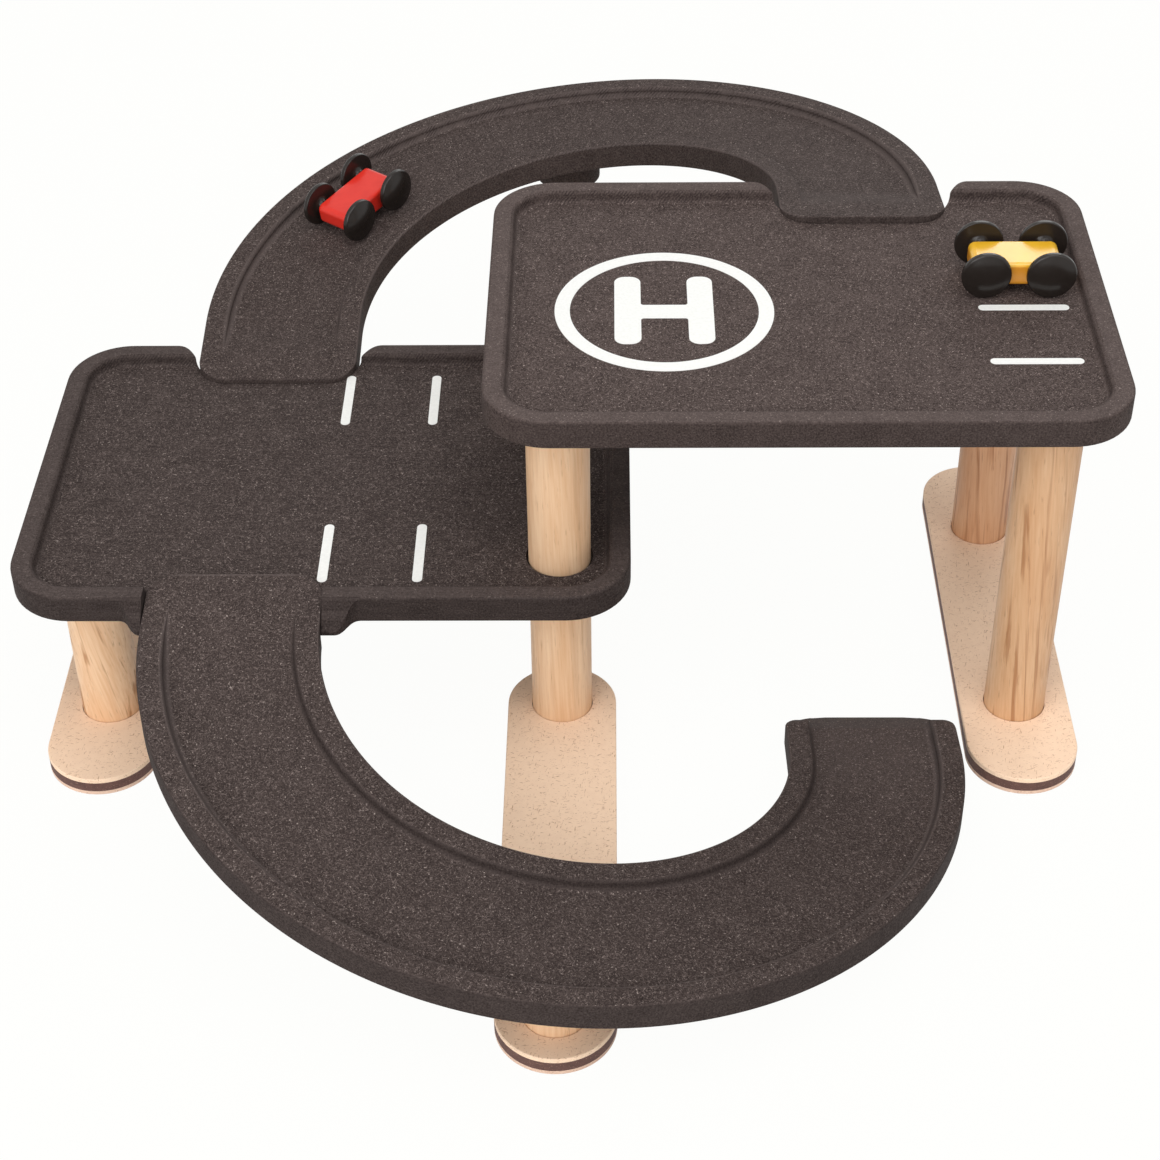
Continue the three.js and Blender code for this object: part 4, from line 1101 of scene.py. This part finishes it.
def make_ring(floor):
    outer = arc(*RING_MIDDLE, RING_OUTER, 0, 360, 2 * ROUND_SEGMENTS)[:-1]
    inner = arc(*RING_MIDDLE, RING_INNER, 0, 360, 2 * ROUND_SEGMENTS)[:-1]
    low = floor - SIGN_THICKNESS / 2
    high = floor + SIGN_THICKNESS
    loops = [(outer, low), (outer, high), (inner, high), (inner, low), (outer, low)]
    ring = stacked("landing_ring", [[(x, y, z) for x, y in loop] for loop, z in loops], cap=False)
    finished(ring, SIGN_PAINT, ROOT)


def make_letter(floor):
    left, right = LETTER_LEFT
    far_left, far_right = LETTER_RIGHT
    low, high = LETTER_ENDS
    bar_low, bar_high = LETTER_BAR
    ends = [(left, low), (right, low), (right, bar_low)]
    ends += [(far_left, bar_low), (far_left, low), (far_right, low)]
    ends += [(far_right, high), (far_left, high), (far_left, bar_high)]
    ends += [(right, bar_high), (right, high), (left, high)]
    inner = {(x, y) for x in (right, far_left) for y in LETTER_BAR}
    corners = [(x, y, LETTER_FILLET if (x, y) in inner else LETTER_ROUND) for x, y in ends]
    painted("landing_letter", filleted(corners), floor)


def make_lines():
    low, high = UPPER_LINE_X
    across = rounded_rectangle(high - low, LINE_WIDTH, LINE_END, SMALL_CORNER_STEPS)
    for i, y in enumerate(UPPER_LINES_Y):
        painted(f"upper_line_{i + 1}", moved(across, (low + high) / 2, y), UPPER_FLOOR)
    for i, x in enumerate(LOWER_LINES_X):
        for row, (low, high) in zip(("back", "front"), LOWER_LINES_Y):
            along = rounded_rectangle(LINE_WIDTH, high - low, LINE_END, SMALL_CORNER_STEPS)
            painted(f"lower_{row}_line_{i + 1}", moved(along, x, (low + high) / 2), LOWER_FLOOR)


# Camera, floor and light
CAMERA_PLACE = Vector((0.02001, -0.80436, 0.67464))
CAMERA_PITCH = math.radians(38.88)
CAMERA_YAW = math.radians(-0.92)
CAMERA_ROLL = math.radians(-0.67)
PHOTO_WIDTH = 1160
FOCAL_PIXELS = 2365.12
SENSOR = 36.0


def make_camera():
    data = bpy.data.cameras.new("camera")
    data.sensor_width = SENSOR
    data.lens = FOCAL_PIXELS / PHOTO_WIDTH * SENSOR
    camera = bpy.data.objects.new("camera", data)
    bpy.context.scene.collection.objects.link(camera)
    level = math.cos(CAMERA_PITCH)
    ahead = Vector((math.sin(CAMERA_YAW) * level, math.cos(CAMERA_YAW) * level, -math.sin(CAMERA_PITCH)))
    right = Vector((math.cos(CAMERA_YAW), -math.sin(CAMERA_YAW), 0))
    up = right.cross(ahead)
    across = right * math.cos(CAMERA_ROLL) + up * math.sin(CAMERA_ROLL)
    upright = up * math.cos(CAMERA_ROLL) - right * math.sin(CAMERA_ROLL)
    turn = Matrix((across, upright, -ahead)).transposed().to_4x4()
    camera.matrix_world = Matrix.Translation(CAMERA_PLACE) @ turn
    bpy.context.scene.camera = camera


FLOOR_REACH = 6.0
FLOOR_DROP = 0.0002
BACKGROUND = (1.0, 1.0, 0.985, 1.0)
BACKGROUND_SHARE = 0.97


def seen_directly(tree):
    """1 for rays that show the background: from the camera, in gloss or through glass."""
    path = tree.nodes.new("ShaderNodeLightPath")
    seen = path.outputs["Is Camera Ray"]
    for ray in ("Is Glossy Ray", "Is Transmission Ray"):
        either = tree.nodes.new("ShaderNodeMath")
        either.operation = "MAXIMUM"
        tree.links.new(seen, either.inputs[0])
        tree.links.new(path.outputs[ray], either.inputs[1])
        seen = either.outputs[0]
    return seen


def show_mixed(tree, share, first, second, output):
    mixed = tree.nodes.new("ShaderNodeMixShader")
    for socket, source in enumerate((share, first, second)):
        tree.links.new(source, mixed.inputs[socket])
    tree.links.new(mixed.outputs[0], tree.nodes[output].inputs["Surface"])


def make_floor():
    sides = ((-1, -1), (1, -1), (1, 1), (-1, 1))
    corners = [(x * FLOOR_REACH, y * FLOOR_REACH, -FLOOR_DROP) for x, y in sides]
    floor = mesh_object("floor", corners, [(0, 1, 2, 3)])
    paint = Paint("floor", roughness=0.9)
    paint.set("Base Color", paint.mix(paint.noise(60.0), srgb(238, 238, 236), srgb(244, 244, 242)))
    white = paint.add("ShaderNodeEmission", {"Color": BACKGROUND, "Strength": 1.0})
    share = paint.times(seen_directly(paint.tree), BACKGROUND_SHARE)
    show_mixed(paint.tree, share, paint.shader.outputs[0], white.outputs[0], "Material Output")
    floor.data.materials.append(paint.material)


WORLD_STRENGTH = 0.34
# Name, place, width in metres and power in watts of each round lamp
LAMPS = (
    ("top", (0.15, -0.45, 1.45), 1.2, 8.0),
    ("left", (-1.0, -0.9, 1.3), 1.2, 7.5),
    ("right", (1.1, -0.9, 1.3), 1.2, 3.2),
    ("back", (0.43, 1.29, 0.95), 0.9, 5.0),
    ("front", (-0.45, -1.65, 0.75), 1.2, 12.5),
)


def make_light():
    world = bpy.data.worlds.new("studio")
    bpy.context.scene.world = world
    world.use_nodes = True
    tree = world.node_tree
    light = tree.nodes["Background"]
    light.inputs["Color"].default_value = (1.0, 1.0, 1.0, 1.0)
    light.inputs["Strength"].default_value = WORLD_STRENGTH
    white = tree.nodes.new("ShaderNodeBackground")
    white.inputs["Color"].default_value = BACKGROUND
    show_mixed(tree, seen_directly(tree), light.outputs[0], white.outputs[0], "World Output")
    for name, place, size, power in LAMPS:
        data = bpy.data.lights.new(name, "AREA")
        data.shape = "DISK"
        data.size = size
        data.energy = power
        lamp = bpy.data.objects.new(name, data)
        bpy.context.scene.collection.objects.link(lamp)
        lamp.location = place
        lamp.rotation_euler = (-Vector(place)).to_track_quat("-Z", "Y").to_euler()
    bpy.context.scene.view_settings.view_transform = "Standard"


# Hidden pieces keep their CAD shape
HIDDEN = {"_screw": SCREW_STEEL, "_peg": POST_WOOD, "_axle": BLACK_PLASTIC}


def dress_hidden():
    for name, node in frame["nodes"].items():
        for ending, material in HIDDEN.items():
            if name.endswith(ending):
                node.data.materials.clear()
                node.data.materials.append(material)


make_camera()
make_floor()
make_light()
make_decks()
make_back_ramp()
make_front_ramp()
make_boss("back", back_line, Matrix.Identity(4))
make_boss("front", front_line, HALF_TURN)
make_posts()
make_feet()
make_car("yellow_car", YELLOW_PAINT)
make_car("red_car", RED_PAINT)
make_ring(UPPER_FLOOR)
make_letter(UPPER_FLOOR)
make_lines()
dress_hidden()
